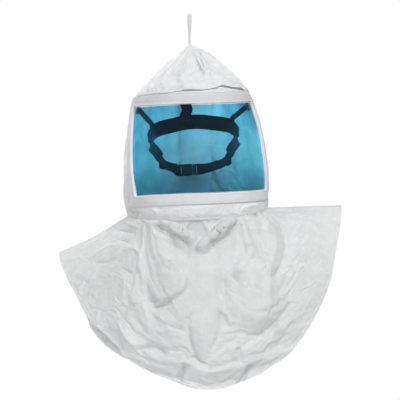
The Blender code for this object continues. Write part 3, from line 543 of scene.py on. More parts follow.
def film_material(name, tint, haze, haze_share, shine, grey=None):
    """Thin clear film with soft reflections, fine scratches and haze. grey is the tone of its
    greyer middle, a painted reflected veil."""
    graph = new_graph(name)
    place = graph.place()
    stretched = graph.value("Mapping", {"Vector": place, "Scale": (1.0, 1.0, 0.12),
                                        "Rotation": (0.0, 0.35, 0.0)})
    scratch = graph.ramp(graph.noise(stretched, scale=900.0, detail=2.0, rough=0.8),
                         (0.66, BLACK), (0.74, WHITE))
    ripple = graph.noise(place, scale=26.0, detail=3.0, rough=0.5, distortion=0.6)
    normal = graph.bump(ripple, strength=0.25, distance=0.0015)
    normal = graph.bump(scratch, strength=0.12, distance=0.00005, normal=normal)
    tone = graph.ramp(ripple, (0.35, [part * 0.93 for part in tint]),
                      (0.65, [min(part * 1.05, 1.0) for part in tint]))
    if grey is not None:
        tone = film_tones(graph, place, tone, grey)
    clear = graph.value("BsdfTransparent", {"Color": tone})
    veil = graph.value("BsdfDiffuse", {"Color": (*haze, 1.0), "Normal": normal})
    gloss = graph.value("BsdfGlossy", {"Color": (0.9, 0.95, 1.0, 1.0),
                                       "Roughness": scratch * 0.25 + 0.24, "Normal": normal})
    facing = graph.value("Fresnel", {"IOR": 1.5, "Normal": normal})
    body = graph.mix_shader(scratch * 0.03 + haze_share, clear, veil)
    reflection = graph.math("MULTIPLY", facing, shine, clamp=True)
    return graph.finish(graph.mix_shader(reflection, body, gloss))


# ---------------------------------------------------------------- materials

COOL = (0.99, 1.0, 1.01)
FABRIC = nonwoven("white_nonwoven", tone=0.86, through=0.38)
# painted light: a brighter copy of the white nonwoven, so the crown reads lighter than its lighting makes it
CROWN_FABRIC_PAINTED_LIGHT = nonwoven("white_nonwoven_crown_painted_light", tone=0.90, through=0.38, crisp=0.9)
# painted light: a brighter copy of the white nonwoven, standing in for light from the front and below on the chin
CHIN_FABRIC_PAINTED_LIGHT = nonwoven("white_nonwoven_chin_painted_light", tone=0.93, through=0.34, crisp=0.8)
# painted shade: a darker copy of the white nonwoven, for the bib lying in shadow inside the hood
BIB_FABRIC_PAINTED_SHADE = nonwoven("white_nonwoven_bib_painted_shade", tone=0.78, tint=COOL, through=0.25)
DUCT_FABRIC = nonwoven("coated_duct_fabric", tone=0.86, tint=COOL, through=0.30, crisp=0.5)
# top paints shade on both binding materials at the window's upper edge, under the crown's overhang
BINDING_TAPE = nonwoven("binding_tape", tone=0.80, tint=(0.985, 0.99, 1.0), through=0.12,
                        crisp=0.45, top=0.80)
BINDING_EDGE = nonwoven("binding_edge", tone=0.90, through=0.10, crisp=0.3, top=0.84)
TAPE = woven("white_tape", (0.62, 0.62, 0.62), (0.86, 0.86, 0.86), rows=14.0, cols=14.0)
THREAD = woven("white_thread", (0.72, 0.72, 0.72), (0.88, 0.88, 0.88), rows=6.0, cols=6.0,
               rough=0.8, depth=0.0001)
GREY_THREAD = woven("grey_thread", (0.05, 0.055, 0.065), (0.10, 0.11, 0.13), rows=6.0,
                    cols=6.0, rough=0.8, depth=0.0001)
WEBBING = woven("black_webbing", (0.005, 0.006, 0.010), (0.022, 0.030, 0.042), rows=6.5,
                cols=6.5, depth=0.0003, sheen=0.02)
ELASTIC = woven("black_elastic", (0.008, 0.012, 0.018), (0.032, 0.046, 0.062), rows=9.0,
                cols=5.0, rough=0.8, depth=0.0004, sheen=0.03)
PATCH = woven("grey_tape", (0.05, 0.055, 0.06), (0.12, 0.13, 0.14), rows=14.0, cols=14.0,
              sheen=0.02)
TOWELLING = woven("black_sweatband", (0.010, 0.011, 0.014), (0.035, 0.038, 0.045), rows=8.0,
                  cols=8.0, diagonal=False, rough=0.95, depth=0.0002)
BUCKLE_PLASTIC = moulded("black_buckle_plastic", (0.010, 0.012, 0.015), rough=0.46,
                         wear=0.05, shine=0.22)
PORT_PLASTIC = moulded("dark_port_plastic", (0.035, 0.038, 0.042))
RUBBER = moulded("seal_rubber", (0.012, 0.012, 0.012), rough=0.7, grain=1400.0, wear=0.05)
FOAM = foam_material("open_cell_foam", (0.16, 0.165, 0.18))
# film_tones paints the film's tone: grey makes a painted reflected veil in the middle, with painted highlights
# left and right and painted shade at the foot and upper corners
FILM = film_material("blue_cover_film", tint=(0.075, 0.57, 0.86), haze=(0.10, 0.34, 0.46),
                     haze_share=0.010, shine=0.42, grey=(0.20, 0.60, 0.82))
LENS = film_material("clear_lens", tint=(0.97, 0.99, 0.995), haze=(0.8, 0.85, 0.9),
                     haze_share=0.003, shine=0.12)

# ---------------------------------------------------------------- mesh builders


def add_object(name, data):
    obj = bpy.data.objects.new(name, data)
    bpy.context.scene.collection.objects.link(obj)
    return obj


@contextmanager
def edited(mesh):
    bm = bmesh.new()
    bm.from_mesh(mesh)
    yield bm
    bm.to_mesh(mesh)
    bm.free()


def add_mesh(name, points, faces, material, uv=None):
    """A smooth object from points in the hood's frame and faces of four corners."""
    mesh = bpy.data.meshes.new(name)
    verts = np.asarray(points, float).reshape(-1, 3).copy()
    verts[:, 1] += HOOD_Y
    faces = np.asarray(faces, int)
    count, corners = faces.shape
    mesh.vertices.add(len(verts))
    mesh.vertices.foreach_set("co", (verts / 1000.0).astype(np.float32).ravel())
    mesh.loops.add(count * corners)
    mesh.loops.foreach_set("vertex_index", faces.ravel().astype(np.int32))
    mesh.polygons.add(count)
    mesh.polygons.foreach_set("loop_start", (np.arange(count) * corners).astype(np.int32))
    mesh.polygons.foreach_set("loop_total", np.full(count, corners, np.int32))
    mesh.update(calc_edges=True)
    if uv is not None:
        layer = mesh.uv_layers.new(name="UVMap")
        layer.data.foreach_set("uv", np.asarray(uv, np.float32)[faces.ravel()].ravel())
    mesh.validate()
    mesh.shade_smooth()
    mesh.materials.append(material)
    return add_object(name, mesh)


def grid_faces(rows, cols, closed=False, keep=None):
    index = np.arange(rows * cols).reshape(rows, cols)
    if closed:
        index = concatenate([index, index[:, :1]], 1)
    quads = np.stack([index[:-1, :-1], index[:-1, 1:], index[1:, 1:], index[1:, :-1]], -1)
    return quads.reshape(-1, 4) if keep is None else quads[keep]


def grid_normals(points, closed=False):
    if closed:
        around = np.roll(points, -1, 1) - np.roll(points, 1, 1)
    else:
        around = np.gradient(points, axis=1)
    return unit(np.cross(around, np.gradient(points, axis=0)))


def path_length(path):
    return concatenate([[0], np.cumsum(norm(np.diff(path, axis=0), axis=1))])


def sheet(name, points, material, thickness=0.5, closed=False, keep=None, flip=False):
    """A sheet from a grid of points on its outer face; its thickness goes inwards."""
    faces = grid_faces(*points.shape[:2], closed, keep)
    if flip:
        faces = faces[:, ::-1]
    steps = norm(np.diff(points, axis=1), axis=-1).mean(0)
    rises = norm(np.diff(points, axis=0), axis=-1).mean(1)
    lines = [concatenate([[0], np.cumsum(sizes)]) / 100.0 for sizes in (steps, rises)]
    uv = np.stack(np.meshgrid(*lines), -1).reshape(-1, 2)
    verts = points.reshape(-1, 3)
    if keep is not None:
        used = np.unique(faces)
        renumbered = np.full(len(verts), -1)
        renumbered[used] = np.arange(len(used))
        verts, uv, faces = verts[used], uv[used], renumbered[faces]
    obj = add_mesh(name, verts, faces, material, uv)
    if thickness:
        solid = obj.modifiers.new("thickness", "SOLIDIFY")
        solid.thickness = thickness / 1000.0
        solid.offset = -1.0
        solid.use_even_offset = False
        solid.use_rim = True
    return obj


def close_ends(obj, rings, size):
    """Caps both ends of a tube of rings of size points, strip by strip."""
    with edited(obj.data) as bm:
        bm.verts.ensure_lookup_table()
        for base, turned in ((0, False), ((rings - 1) * size, True)):
            for i in range(size // 2 - 1):
                quad = [base + i, base + i + 1, base + size - 2 - i, base + size - 1 - i]
                corners = [bm.verts[k] for k in (quad if turned else quad[::-1])]
                bm.faces.new(corners).smooth = False
        bmesh.ops.recalc_face_normals(bm, faces=bm.faces)


def weld(obj):
    with edited(obj.data) as bm:
        bmesh.ops.remove_doubles(bm, verts=bm.verts, dist=1e-6)
        bmesh.ops.recalc_face_normals(bm, faces=bm.faces)


def webbing(name, path, across, width, thickness, material, ribs, cells=26, rib_height=0.10):
    """Woven tape along a path, with rounded selvedges and cords across its width."""
    path, across = np.asarray(path, float), np.asarray(across, float)
    count = len(path)
    tangent = np.gradient(path, axis=0)
    tangent /= norm(tangent, axis=1, keepdims=True)
    across = across - tangent * np.sum(across * tangent, 1, keepdims=True)
    across /= norm(across, axis=1, keepdims=True)
    normal = np.cross(tangent, across)
    width = np.broadcast_to(np.asarray(width, float), (count,))
    side = linspace(-1, 1, cells)
    inset = np.clip((1 - np.abs(side)) * width.mean() / 2 / (thickness * 0.8), 0, 1)
    half = thickness / 2 * np.sqrt(1 - (1 - inset) ** 2 * 0.85)
    top = half + rib_height * cos(side * pi * ribs) * inset * 0.5
    ring_side = concatenate([side, side[::-1]])
    ring_height = concatenate([top, -top[::-1]])
    offset = ring_side[None] * width[:, None] / 2
    points = (path[:, None] + across[:, None] * offset[..., None]
              + normal[:, None] * ring_height[None, :, None])
    size = len(ring_side)
    along = np.broadcast_to(path_length(path)[:, None], (count, size))
    uv = np.stack([offset, along], -1).reshape(-1, 2) / 10.0
    obj = add_mesh(name, points, grid_faces(count, size, closed=True), material, uv)
    close_ends(obj, count, size)
    return obj


# share of a stitch's length, share of its radius, height above its line
STITCH_RINGS = ((0.0, 0.35, -0.12), (0.14, 0.85, 0.02), (0.5, 1.0, 0.12), (0.86, 0.85, 0.02),
                (1.0, 0.35, -0.12))


def stitches(name, points, normals, material=THREAD, pitch=3.2, radius=0.22):
    """A row of short rounded lengths of thread lying on a line."""
    share, ring_size = 0.72, 6
    points, normals = np.asarray(points, float), np.asarray(normals, float)
    along = path_length(points)
    count = max(int(along[-1] / pitch), 1)
    middles = (np.arange(count) + 0.5) * along[-1] / count

    def sample(values, distance):
        return np.array([np.interp(distance, along, values[:, k]) for k in range(3)]).T

    starts = sample(points, middles - pitch * share / 2)
    ends = sample(points, middles + pitch * share / 2)
    start_normals = sample(normals, middles - pitch * share / 2)
    verts, faces = [], []
    for start, end, up in zip(starts, ends, start_normals):
        way = end - start
        length = norm(way)
        if length < 1e-6:
            continue
        way = way / length
        up = up - way * (up @ way)
        up /= max(norm(up), 1e-9)
        side = np.cross(way, up)
        base = len(verts)
        for place, size, height in STITCH_RINGS:
            centre = start + way * length * place + up * height
            for j in range(ring_size):
                turn = 2 * pi * j / ring_size
                verts.append(centre + (up * cos(turn) + side * sin(turn)) * radius * size)
        faces.extend(base + grid_faces(len(STITCH_RINGS), ring_size, closed=True))
        for ring_no, order in ((0, (0, 5, 4, 3)), (0, (3, 2, 1, 0)),
                               (4, (0, 1, 2, 3)), (4, (3, 4, 5, 0))):
            faces.append([base + ring_no * ring_size + j for j in order])
    return add_mesh(name, np.array(verts), np.array(faces), material)


def lathe(name, profile, centre, axis, material, segments=128, closed=True, round_steps=3):
    """Turned part from (radius, distance along the axis), with slightly rounded corners."""
    corners = [np.array(corner, float) for corner in profile]
    last = len(corners) - 1
    outline = []
    for i, corner in enumerate(corners):
        if not closed and i in (0, last):
            outline.append(corner)
            continue
        back, ahead = corners[i - 1] - corner, corners[(i + 1) % len(corners)] - corner
        radius = min(0.35, norm(back) * 0.4, norm(ahead) * 0.4)
        start, end = corner + unit(back) * radius, corner + unit(ahead) * radius
        for k in range(round_steps + 1):
            step = k / round_steps
            outline.append((1 - step) ** 2 * start + 2 * step * (1 - step) * corner
                           + step * step * end)
    outline = np.array(outline)
    axis = unit(axis)
    guide = FRONT_AXIS_X if abs(axis[0]) < 0.9 else np.array([0.0, 0.0, 1.0])
    side = unit(guide - axis * (guide @ axis))
    turn = linspace(0, 2 * pi, segments, endpoint=False)
    spokes = cos(turn)[:, None] * side + sin(turn)[:, None] * np.cross(axis, side)
    points = (np.asarray(centre, float) + outline[:, None, 0:1] * spokes[None]
              + outline[:, None, 1:2] * axis)
    faces = grid_faces(len(outline), segments, closed=True)
    if closed:
        first = np.arange(segments)
        final = (len(outline) - 1) * segments + first
        seam = np.stack([final, np.roll(final, -1), np.roll(first, -1), first], -1)
        faces = np.vstack([faces, seam])
    obj = add_mesh(name, points, faces, material)
    weld(obj)
    return obj


def seam_roll(name, path, normals, width, height, pucker):
    """A turned-in seam: a low rounded ridge that puckers between its stitches."""
    path, normals = np.asarray(path, float), unit(normals)
    across = unit(np.cross(normals, unit(np.gradient(path, axis=0))))
    along = path_length(path)[:, None]
    side = linspace(-1, 1, 13)
    dome = np.sqrt(maximum(1 - side**2, 0.0))
    wobble = (1 + pucker * sin(2 * pi * along / 7.0) * 0.5
              + pucker * 0.5 * sin(2 * pi * along / 17.0 + 1))
    rise = (height * dome[None] * wobble)[..., None]
    top = path[:, None] + across[:, None] * (side[None, :, None] * width / 2)
    top = top + normals[:, None] * rise
    bottom = path[:, None] + across[:, None] * (side[None, ::-1, None] * width / 2)
    bottom = bottom - normals[:, None] * (0.45 * dome[None, ::-1, None] * height)
    points = concatenate([top, bottom], 1)
    count, size = points.shape[:2]
    obj = add_mesh(name, points, grid_faces(count, size, closed=True), FABRIC)
    close_ends(obj, count, size)
    return obj


def soft_box(name, size, origin, axes, material, wobble, seed, cells=28, power=7.0):
    """Box with rounded edges: a cube's surface drawn towards a superellipsoid."""
    verts, faces = [], []
    line = linspace(-1, 1, cells)
    for axis in range(3):
        for sign in (-1, 1):
            first, second = np.meshgrid(line, line)
            side = np.zeros(first.shape + (3,))
            side[..., axis] = float(sign)
            side[..., (axis + 1) % 3], side[..., (axis + 2) % 3] = first, second
            quads = grid_faces(cells, cells)
            if sign < 0:
                quads = quads[:, ::-1]
            faces.append(quads + len(verts) * cells * cells)
            verts.append(side.reshape(-1, 3))
    cube = np.vstack(verts)
    cube = cube / ((np.abs(cube) ** power).sum(1) ** (1 / power))[:, None]
    axes = np.array(axes)
    points = np.asarray(origin) + (cube * (np.array(size) / 2)) @ axes
    points = points + unit(cube @ axes) * (wobble * waves(points, 8.0, 6, seed))[:, None]
    obj = add_mesh(name, points, np.vstack(faces), material)
    weld(obj)
    return obj


def bake(obj):
    """Applies the piece's modifiers."""
    depsgraph = bpy.context.evaluated_depsgraph_get()
    mesh = bpy.data.meshes.new_from_object(obj.evaluated_get(depsgraph))
    obj.modifiers.clear()
    obj.data = mesh


def cut_inlet_hole(bm, radius, reach):
    """Removes what lies inside the inlet's hole, and pulls the rim onto the circle."""
    def from_inlet(vert):
        return vert.co.x * 1000 - INLET_X, vert.co.z * 1000 - INLET_Z

    def at_back(vert):
        return vert.co.y * 1000 - HOOD_Y > INLET_Y - 20

    inside = [v for v in bm.verts if at_back(v) and hypot(*from_inlet(v)) < radius]
    bmesh.ops.delete(bm, geom=inside, context="VERTS")
    for vert in bm.verts:
        x, z = from_inlet(vert)
        distance = hypot(x, z)
        if vert.is_boundary and distance < reach and at_back(vert):
            vert.co.x = (INLET_X + x * radius / distance) / 1000
            vert.co.z = (INLET_Z + z * radius / distance) / 1000


# ---------------------------------------------------------------- cloth

CLOTH_FRAMES = 16


def doubled(points, closed=False):
    """The grid with a point put between each two, on a smooth curve through them."""
    def along(grid, loop):
        if loop:
            ends = concatenate([grid[-1:], grid, grid[:2]])
        else:
            ends = concatenate([2 * grid[:1] - grid[1:2], grid, 2 * grid[-1:] - grid[-2:-1]])
        middle = (-ends[:-3] + 9 * ends[1:-2] + 9 * ends[2:-1] - ends[3:]) / 16
        result = np.empty((len(grid) + len(middle),) + grid.shape[1:])
        result[0::2] = grid
        result[1::2] = middle
        return result
    points = along(points, False)
    return np.swapaxes(along(np.swapaxes(points, 0, 1), closed), 0, 1)


def limited(move, most):
    size = norm(move, axis=-1, keepdims=True)
    return move * minimum(1.0, most / maximum(size, 1e-9))


def run_cloth(obj, cloth):
    """Plays the simulation and returns the vertices' last places, in metres."""
    scene = bpy.context.scene
    scene.frame_start, scene.frame_end = 1, CLOTH_FRAMES
    cloth.point_cache.frame_start, cloth.point_cache.frame_end = 1, CLOTH_FRAMES
    for i in range(1, CLOTH_FRAMES + 1):
        scene.frame_set(i)
    mesh = obj.evaluated_get(bpy.context.evaluated_depsgraph_get()).data
    places = np.empty(len(mesh.vertices) * 3, np.float32)
    mesh.vertices.foreach_get("co", places)
    scene.frame_set(1)
    return places.reshape(-1, 3).astype(float)


def crease_by_cloth(name, points, hold, grow, bend, most, closed=False):
    """Lets a sheet buckle: its fabric is a share grow longer than its form, is held where
    hold (0 to 1) is high, and stays within most mm of the form."""
    rows, cols = points.shape[:2]
    obj = add_mesh(name, points, grid_faces(rows, cols, closed), FABRIC)
    group = obj.vertex_groups.new(name="hold")
    level = np.clip(np.round(np.broadcast_to(hold, (rows, cols)).ravel(), 2), 0, 1)
    for weight in np.unique(level):
        if weight > 0:
            group.add(np.nonzero(level == weight)[0].tolist(), float(weight), "REPLACE")
    cloth = obj.modifiers.new("cloth", "CLOTH")
    fabric = cloth.settings
    fabric.quality = 4
    fabric.mass = 0.12
    fabric.tension_stiffness = fabric.compression_stiffness = 25
    fabric.shear_stiffness = 8
    fabric.bending_stiffness = bend
    fabric.tension_damping = fabric.compression_damping = fabric.shear_damping = 8
    fabric.bending_damping = 0.8
    fabric.air_damping = 3
    fabric.vertex_group_mass = "hold"
    fabric.pin_stiffness = 1.0
    fabric.shrink_min = -grow
    fabric.effector_weights.gravity = 0.15
    cloth.collision_settings.use_collision = False
    cloth.collision_settings.use_self_collision = False
    settled = run_cloth(obj, cloth).reshape(rows, cols, 3) * 1000.0
    settled[..., 1] -= HOOD_Y
    bpy.data.objects.remove(obj)
    return points + limited(np.nan_to_num(settled - points), most)


def blurred(grid, reach, closed):
    """The field averaged over reach points each way, along and then up."""
    for axis, span, loop in ((1, reach[0], closed), (0, reach[1], False)):
        kernel = np.hanning(2 * span + 1)
        kernel /= kernel.sum()
        pad = [(0, 0)] * grid.ndim
        pad[axis] = (span, span)
        padded = np.pad(grid, pad, mode="wrap" if loop else "reflect")
        size = grid.shape[axis]
        grid = sum(weight * np.take(padded, np.arange(i, i + size), axis)
                   for i, weight in enumerate(kernel))
    return grid


def keep_form(before, after, reach, hold, most, closed=False):
    """Takes the broad drift out of a simulated sheet, so that only its creases stay."""
    held = np.broadcast_to(hold, before.shape[:2])[..., None] * 1.0
    free = 1 - np.clip(blurred(held, (2, 2), closed), 0, 1)
    move = after - before
    move = move - blurred(move, reach, closed) * smooth(free, 0.0, 0.9)
    return before + limited(move, most) * smooth(free, 0.0, 0.5)


# ---------------------------------------------------------------- hood walls

CHIN_FOLDS = read_folds("""
4.5 5.7 6.65: -137.75 353.4, -111.15 353.4, -88.35 343.9, -75.05 328.7
-4 4.75 6.65: -149.15 342, -132.05 336.3, -113.05 336.3
4.5 5.7 7.6: 59.85 330.6, 82.65 347.7, 116.85 355.3
-3 3.42 3.42: 67.45 336.3, 80.75 351.5, 88.35 362.9
-1.3 2.47 4.18: -95.95 351.5, -38.95 353.4, 27.55 355.3
1.5 4.18 4.18: -80.75 340.1, -19.95 343.9, 48.45 347.7
""")
INLET_HOLE_RADIUS = 20.8


def looseness(points, angle):
    """0 where the sheet is held flat, by the binding and the inlet, up to 1 where free."""
    port = smooth(np.hypot(points[..., 0] - INLET_X, points[..., 2] - INLET_Z), 36.0, 70.0)
    port = np.where(points[..., 1] > 0, port, 1.0)
    across, up = window_place(angle, points[..., 2])
    beside = maximum(maximum(-across, across - 1) * 330.0, 0)
    above = maximum(maximum(-up, up - 1) * WINDOW_HEIGHT, 0)
    distance = np.where((across > -0.5) & (across < 1.5), maximum(beside, above), 200.0)
    return port * smooth(distance, 17.0, 42.0)


def wall_relief(angle, z):
    """How far the wall's fabric stands off the plain form."""
    points = on_hood(angle, z)
    free = looseness(points, angle)
    front = smooth(-points[..., 1], 0.0, 30.0)
    relief = unevenness(points, 5) * free
    relief = relief + folds_relief(points, CHIN_FOLDS) * smooth(free, 0.0, 0.35) * front
    # vertical drag lines, where the fabric hangs from the crown
    drag = waves(points * np.array([1.0, 1.0, 0.22]), 34.0, 9, 21)
    relief = relief + free * 1.6 * drag * smooth(z, 330, 400)
    # a hollow down the left side
    return relief - 3.2 * bell(z, 484.0, 30.0) * smooth(-points[..., 0], 95.0, 135.0)


def on_wall(angle, z):
    return on_hood(angle, z, wall_relief(angle, z))


def wall_grid(angle_from, angle_to, z_from, z_to, cols, rows):
    """Angles and heights between four edges that depend on each other."""
    along = linspace(0, 1, cols + 1)[None, :]
    upward = linspace(0, 1, rows + 1)[:, None]
    z = np.full((rows + 1, cols + 1), 455.0)
    for _ in range(6):
        angle = angle_from(z) + (angle_to(z) - angle_from(z)) * along
        z = z_from(angle) + (z_to(angle) - z_from(angle)) * upward
    return angle, z


def window_level(up):
    """The height of a level window line, as a function of the angle."""
    def height(angle):
        z = np.full(np.shape(angle), 455.0)
        for _ in range(4):
            across = (angle - left_angle(z)) / (right_angle(z) - left_angle(z))
            z = window_z(across, up)
        return z
    return height


def border(shape, inside, edge):
    field = np.full(shape, inside)
    field[[0, -1]] = edge
    field[:, [0, -1]] = edge
    return field


def wall_piece(name, edges, cols, rows, extra=None, grow=0.02, most=5.0, material=FABRIC):
    """One panel of the wall. It is simulated on half the grid and then refined."""
    rows = rows // 2
    angle, z = wall_grid(*edges, cols // 2, rows)
    relief = wall_relief(angle, z)
    if extra is not None:
        relief = relief + extra(z)
    form = on_hood(angle, z, relief)
    flat = 1 - smooth(looseness(on_hood(angle, z), angle), 0.05, 0.6)
    hold = maximum(maximum(border(angle.shape, 0.0, 1.0), flat), 0.05)
    creased = crease_by_cloth(name + "_form", form, hold, grow, bend=0.6, most=30.0)
    points = doubled(keep_form(form, creased, (14, min(14, rows // 2)), hold, most))
    still = np.clip(doubled(flat[..., None])[..., 0], 0, 1)
    fine = 0.40 * crumple(points, 24.0, 131) + 0.2 * crumple(points, 11.0, 132)
    fine = fine * border(points.shape[:2], 1.0, 0.0) * (1 - still)
    return sheet(name, points + grid_normals(points) * fine[..., None], material)


def panel_foot(angle):
    return neck_line(angle) - 0.2


def side_top(angle):
    return crown_line(angle) + 2.0


def window_panel_edges(low, high):
    return (lambda z: left_angle(z) - 1.2, lambda z: right_angle(z) + 1.2, low, high)


side_left = wall_piece(
    "side_fabric_left",
    (lambda z: 90.05 + 0 * z, lambda z: left_angle(z) - 0.9, panel_foot, side_top), 150, 150)
side_right = wall_piece(
    "side_fabric_right",
    (lambda z: right_angle(z) + 0.9, lambda z: 449.95 + 0 * z, panel_foot, side_top), 150, 150)
brow = wall_piece(
    "brow_fabric",
    window_panel_edges(window_level(1.015), lambda angle: crown_line(angle) + 15.0), 160, 26,
    extra=lambda z: -0.4 - 0.5 * smooth(z, 556, 562))
chin = wall_piece("chin_fabric", window_panel_edges(panel_foot, window_level(-0.015)), 200, 46,
                  grow=0.013, most=2.4, material=CHIN_FABRIC_PAINTED_LIGHT)
for piece, node in ((side_left, "side_panel_left"), (side_right, "side_panel_right"),
                    (brow, "brow_panel"), (chin, "chin_panel")):
    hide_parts(node)

for piece in (side_left, side_right):
    with edited(piece.data) as bm:
        cut_inlet_hole(bm, INLET_HOLE_RADIUS, INLET_HOLE_RADIUS + 3.0)

# ---------------------------------------------------------------- crown

CROWN_FOLDS = read_folds("""
# ridge from the apex down to the right, and the creases along its left side
4.6 8.74 4.56 1.3 .12 .25: -21.85 638.4, -6.65 634.6, 4.75 623.2, 10.45 609.9, 25.65 598.5, 54.15 585.2, 86.45 570
-4.2 4.94 3.04 1.5 .3 .3: -14.25 627, -6.65 615.6, -0.95 604.2
-2.6 7.6 7.6 1.6 .3 .3: -21.85 621.3, -16.15 611.8, -10.45 604.2
# a second pinch to its right
-3 2.66 4.18 1.3 .3 .3: 0.95 640.3, 12.35 628.9, 23.75 617.5
2.6 4.56 3.8 1.3 .2 .3: 4.75 642.2, 21.85 628.9, 44.65 609.9
-1.8 5.7 3.8: 21.85 615.6, 44.65 596.6, 71.25 577.6
# slots under the middle
-3.4 2.09 2.85 1.6 .3 .3: -21.85 590.14, -10.45 592.04, -0.95 594.7
-3.2 1.9 2.85 1.6 .3 .3: -6.65 598.12, 0.95 600.4, 8.55 601.92
1.6 2.09 2.09: -25.65 595.84, -10.45 597.36, 4.75 597.74
# ridge on the left, and the small folds round it
3.4 10.45 3.04 1.3 .2 .25: -76.95 567.15, -65.55 575.32, -54.15 582.54, -40.85 588.24, -21.85 589.76
-2.4 2.66 2.85: -61.75 568.1, -46.55 573.42, -31.35 574.56
3.6 4.56 4.94 1.3 .2 .2: -42.75 582.16, -19.95 581.02, 6.65 581.4, 29.45 585.2, 44.65 589.76
2.2 3.04 3.04: -38.95 574.94, -16.15 572.66, 10.45 573.8
2.2 4.94 5.7: -56.05 604.2, -42.75 601.16, -27.55 595.46
1.8 3.8 5.7: -46.55 615.6, -38.95 606.1, -35.15 594.7
-1.8 6.84 5.7: -54.15 585.2, -42.75 596.6, -31.35 611.8
2.4 3.04 3.04: -101.65 568.1, -94.05 569.62, -84.55 570
-1.4 3.8 3.8: -95.95 572.66, -80.75 575.7, -69.35 581.4
-1.5 7.6 7.6: -71.25 585.2, -54.15 604.2, -35.15 630.8
1.6 3.8 3.8: 35.15 577.6, 59.85 581.4, 80.75 573.8
""")
# x in the front projection, and the rise of the crown's front edge there
CROWN_EDGE = (
    [-380.95, -152.95, -120.65, -105.45, -69.35, -46.55, -27.55, 0.95, 23.75, 44.65, 59.85,
     90.25, 116.85, 379.05],
    [0, 0, -4, -1, -2, 1, 2, 1, 4, 10, 5, 1, 0, 0],
)
CROWN_TOP = 655.5
# height z, and the peak's left and right limits there
PEAK_Z = (623.0, 634.6, 646.0, CROWN_TOP)
PEAK_LEFT = (-60.0, -46.6, -35.0, -24.6)
PEAK_RIGHT = (35.0, 21.9, 4.8, -16.6)
APEX_X, APEX_Y = -21.0, 1.0


def crown_form():
    """The crown's grid before its buckling, and how firmly it is held."""
    angle, upward = np.meshgrid(linspace(0, 360, 240, endpoint=False), linspace(0, 1, 59))
    turn = radians(angle)
    base = crown_line(angle)
    edge = surface(angle, base)
    edge_x, _ = seen_from_front(edge)
    foot = base + 0.3 + np.where(edge[..., 1] < 0, np.interp(edge_x, *CROWN_EDGE), 0.0)
    z = foot + (CROWN_TOP - foot) * upward**0.92
    normal = hood_normal(angle, z)
    slot = 0.9 * bell(edge_x, -0.95, 28.5) - 0.35
    slot = slot * (1 - smooth(upward, 0.0, 0.09)) * smooth(-edge[..., 1], 60.0, 90.0)
    points = on_hood(angle, z, 0.9 - 0.4 * smooth(z, 556, 590) + slot)
    points[..., 2] = z
    tip = smooth(z, 644, 655)
    points[..., 0] = APEX_X + (points[..., 0] - APEX_X) * (1 - 0.62 * tip)
    points[..., 1] = APEX_Y + (points[..., 1] - APEX_Y) * (1 - 0.68 * tip)
    front = smooth(-edge[..., 1], 0.0, 40.0)
    facing = smooth(-normal[..., 1], 0.05, 0.45)
    calm = smooth(z, 556, 575) * (1 - smooth(z, 630, 650))
    relief = 0.6 * unevenness(points, 5) * calm
    relief = relief + 0.45 * folds_relief(points, CROWN_FOLDS) * front * facing
    # gathers at the peak
    gather = sin(turn * 11 + 0.6 * sin(turn * 3)) * 0.5 + sin(turn * 17 + 1.1) * 0.3
    relief = relief + gather * smooth(z, 595, 640) * (1 - 0.75 * smooth(z, 644, 653))
    # soft twisting folds over the back
    twist = sin(turn * 5 + z / 22.0) * 1.2 + sin(turn * 8 - z / 30.0) * 0.8
    twist = twist * smooth(z, 562, 590) * (1 - smooth(z, 625, 648))
    relief = relief + (1 - front) * twist
    hold = np.where((upward < 0.01) | (upward > 0.93), 1.0, 0.05)
    return points + normal * relief[..., None], hold


def make_crown():
    form, hold = crown_form()
    creased = crease_by_cloth("crown_form", form, hold, grow=0.015, bend=0.3, most=40.0,
                              closed=True)
    points = doubled(keep_form(form, creased, (16, 9), hold, most=3.5, closed=True), True)
    normal = grid_normals(points, True)
    middle = len(points) // 2
    if (normal[middle] * (points[middle] - points[middle].mean(0))).sum() < 0:
        normal = -normal
    z = points[..., 2]
    relief = 0.45 * crumple(points, 22.0, 141) + 0.25 * crumple(points, 10.0, 142)
    relief = relief * smooth(z, 562, 572) * (1 - smooth(z, 630, 648))
    ahead = smooth(-points[..., 1], 0.0, 25.0) * smooth(-normal[..., 1], 0.02, 0.35)
    relief = relief + 0.85 * folds_relief(points, CROWN_FOLDS) * ahead
    points = points + normal * relief[..., None]
    # each row of the peak is fitted to its width
    for row in points:
        height = row[:, 2].mean()
        share = smooth(height, 626.0, 640.0)
        left, right = (np.interp(height, PEAK_Z, limit) for limit in (PEAK_LEFT, PEAK_RIGHT))
        x0, x1 = row[:, 0].min(), row[:, 0].max()
        fitted = left + (row[:, 0] - x0) / (x1 - x0) * (right - left)
        row[:, 0] = row[:, 0] * (1 - share) + fitted * share
    obj = sheet("crown_fabric", points, CROWN_FABRIC_PAINTED_LIGHT, closed=True)
    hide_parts("crown_front", "crown_rear")
    return obj


crown = make_crown()

# ---------------------------------------------------------------- window

BOND_ACROSS, BOND_UP = 0.055, 0.105     # reach of the bond tape outside the opening
# height of the lip's rows, and their share of the binding's width outside the opening
LIP_ROWS = ((2.35, 0.05), (2.62, 0.02), (2.5, -0.012), (1.9, -0.03), (0.6, -0.035),
            (-0.8, -0.035), (-1.9, -0.03), (-2.05, 0.02))


def steps(low, high, count):
    return list(linspace(low, high, count, endpoint=False))


def outside_opening(across, up):
    """Which cells between the grid lines lie outside the opening."""
    across, up = np.meshgrid((across[:-1] + across[1:]) / 2, (up[:-1] + up[1:]) / 2)
    return ~((across > 0) & (across < 1) & (up > 0) & (up < 1))


def binding_wave(points):
    return 0.22 * waves(points, 46.0, 8, 41)


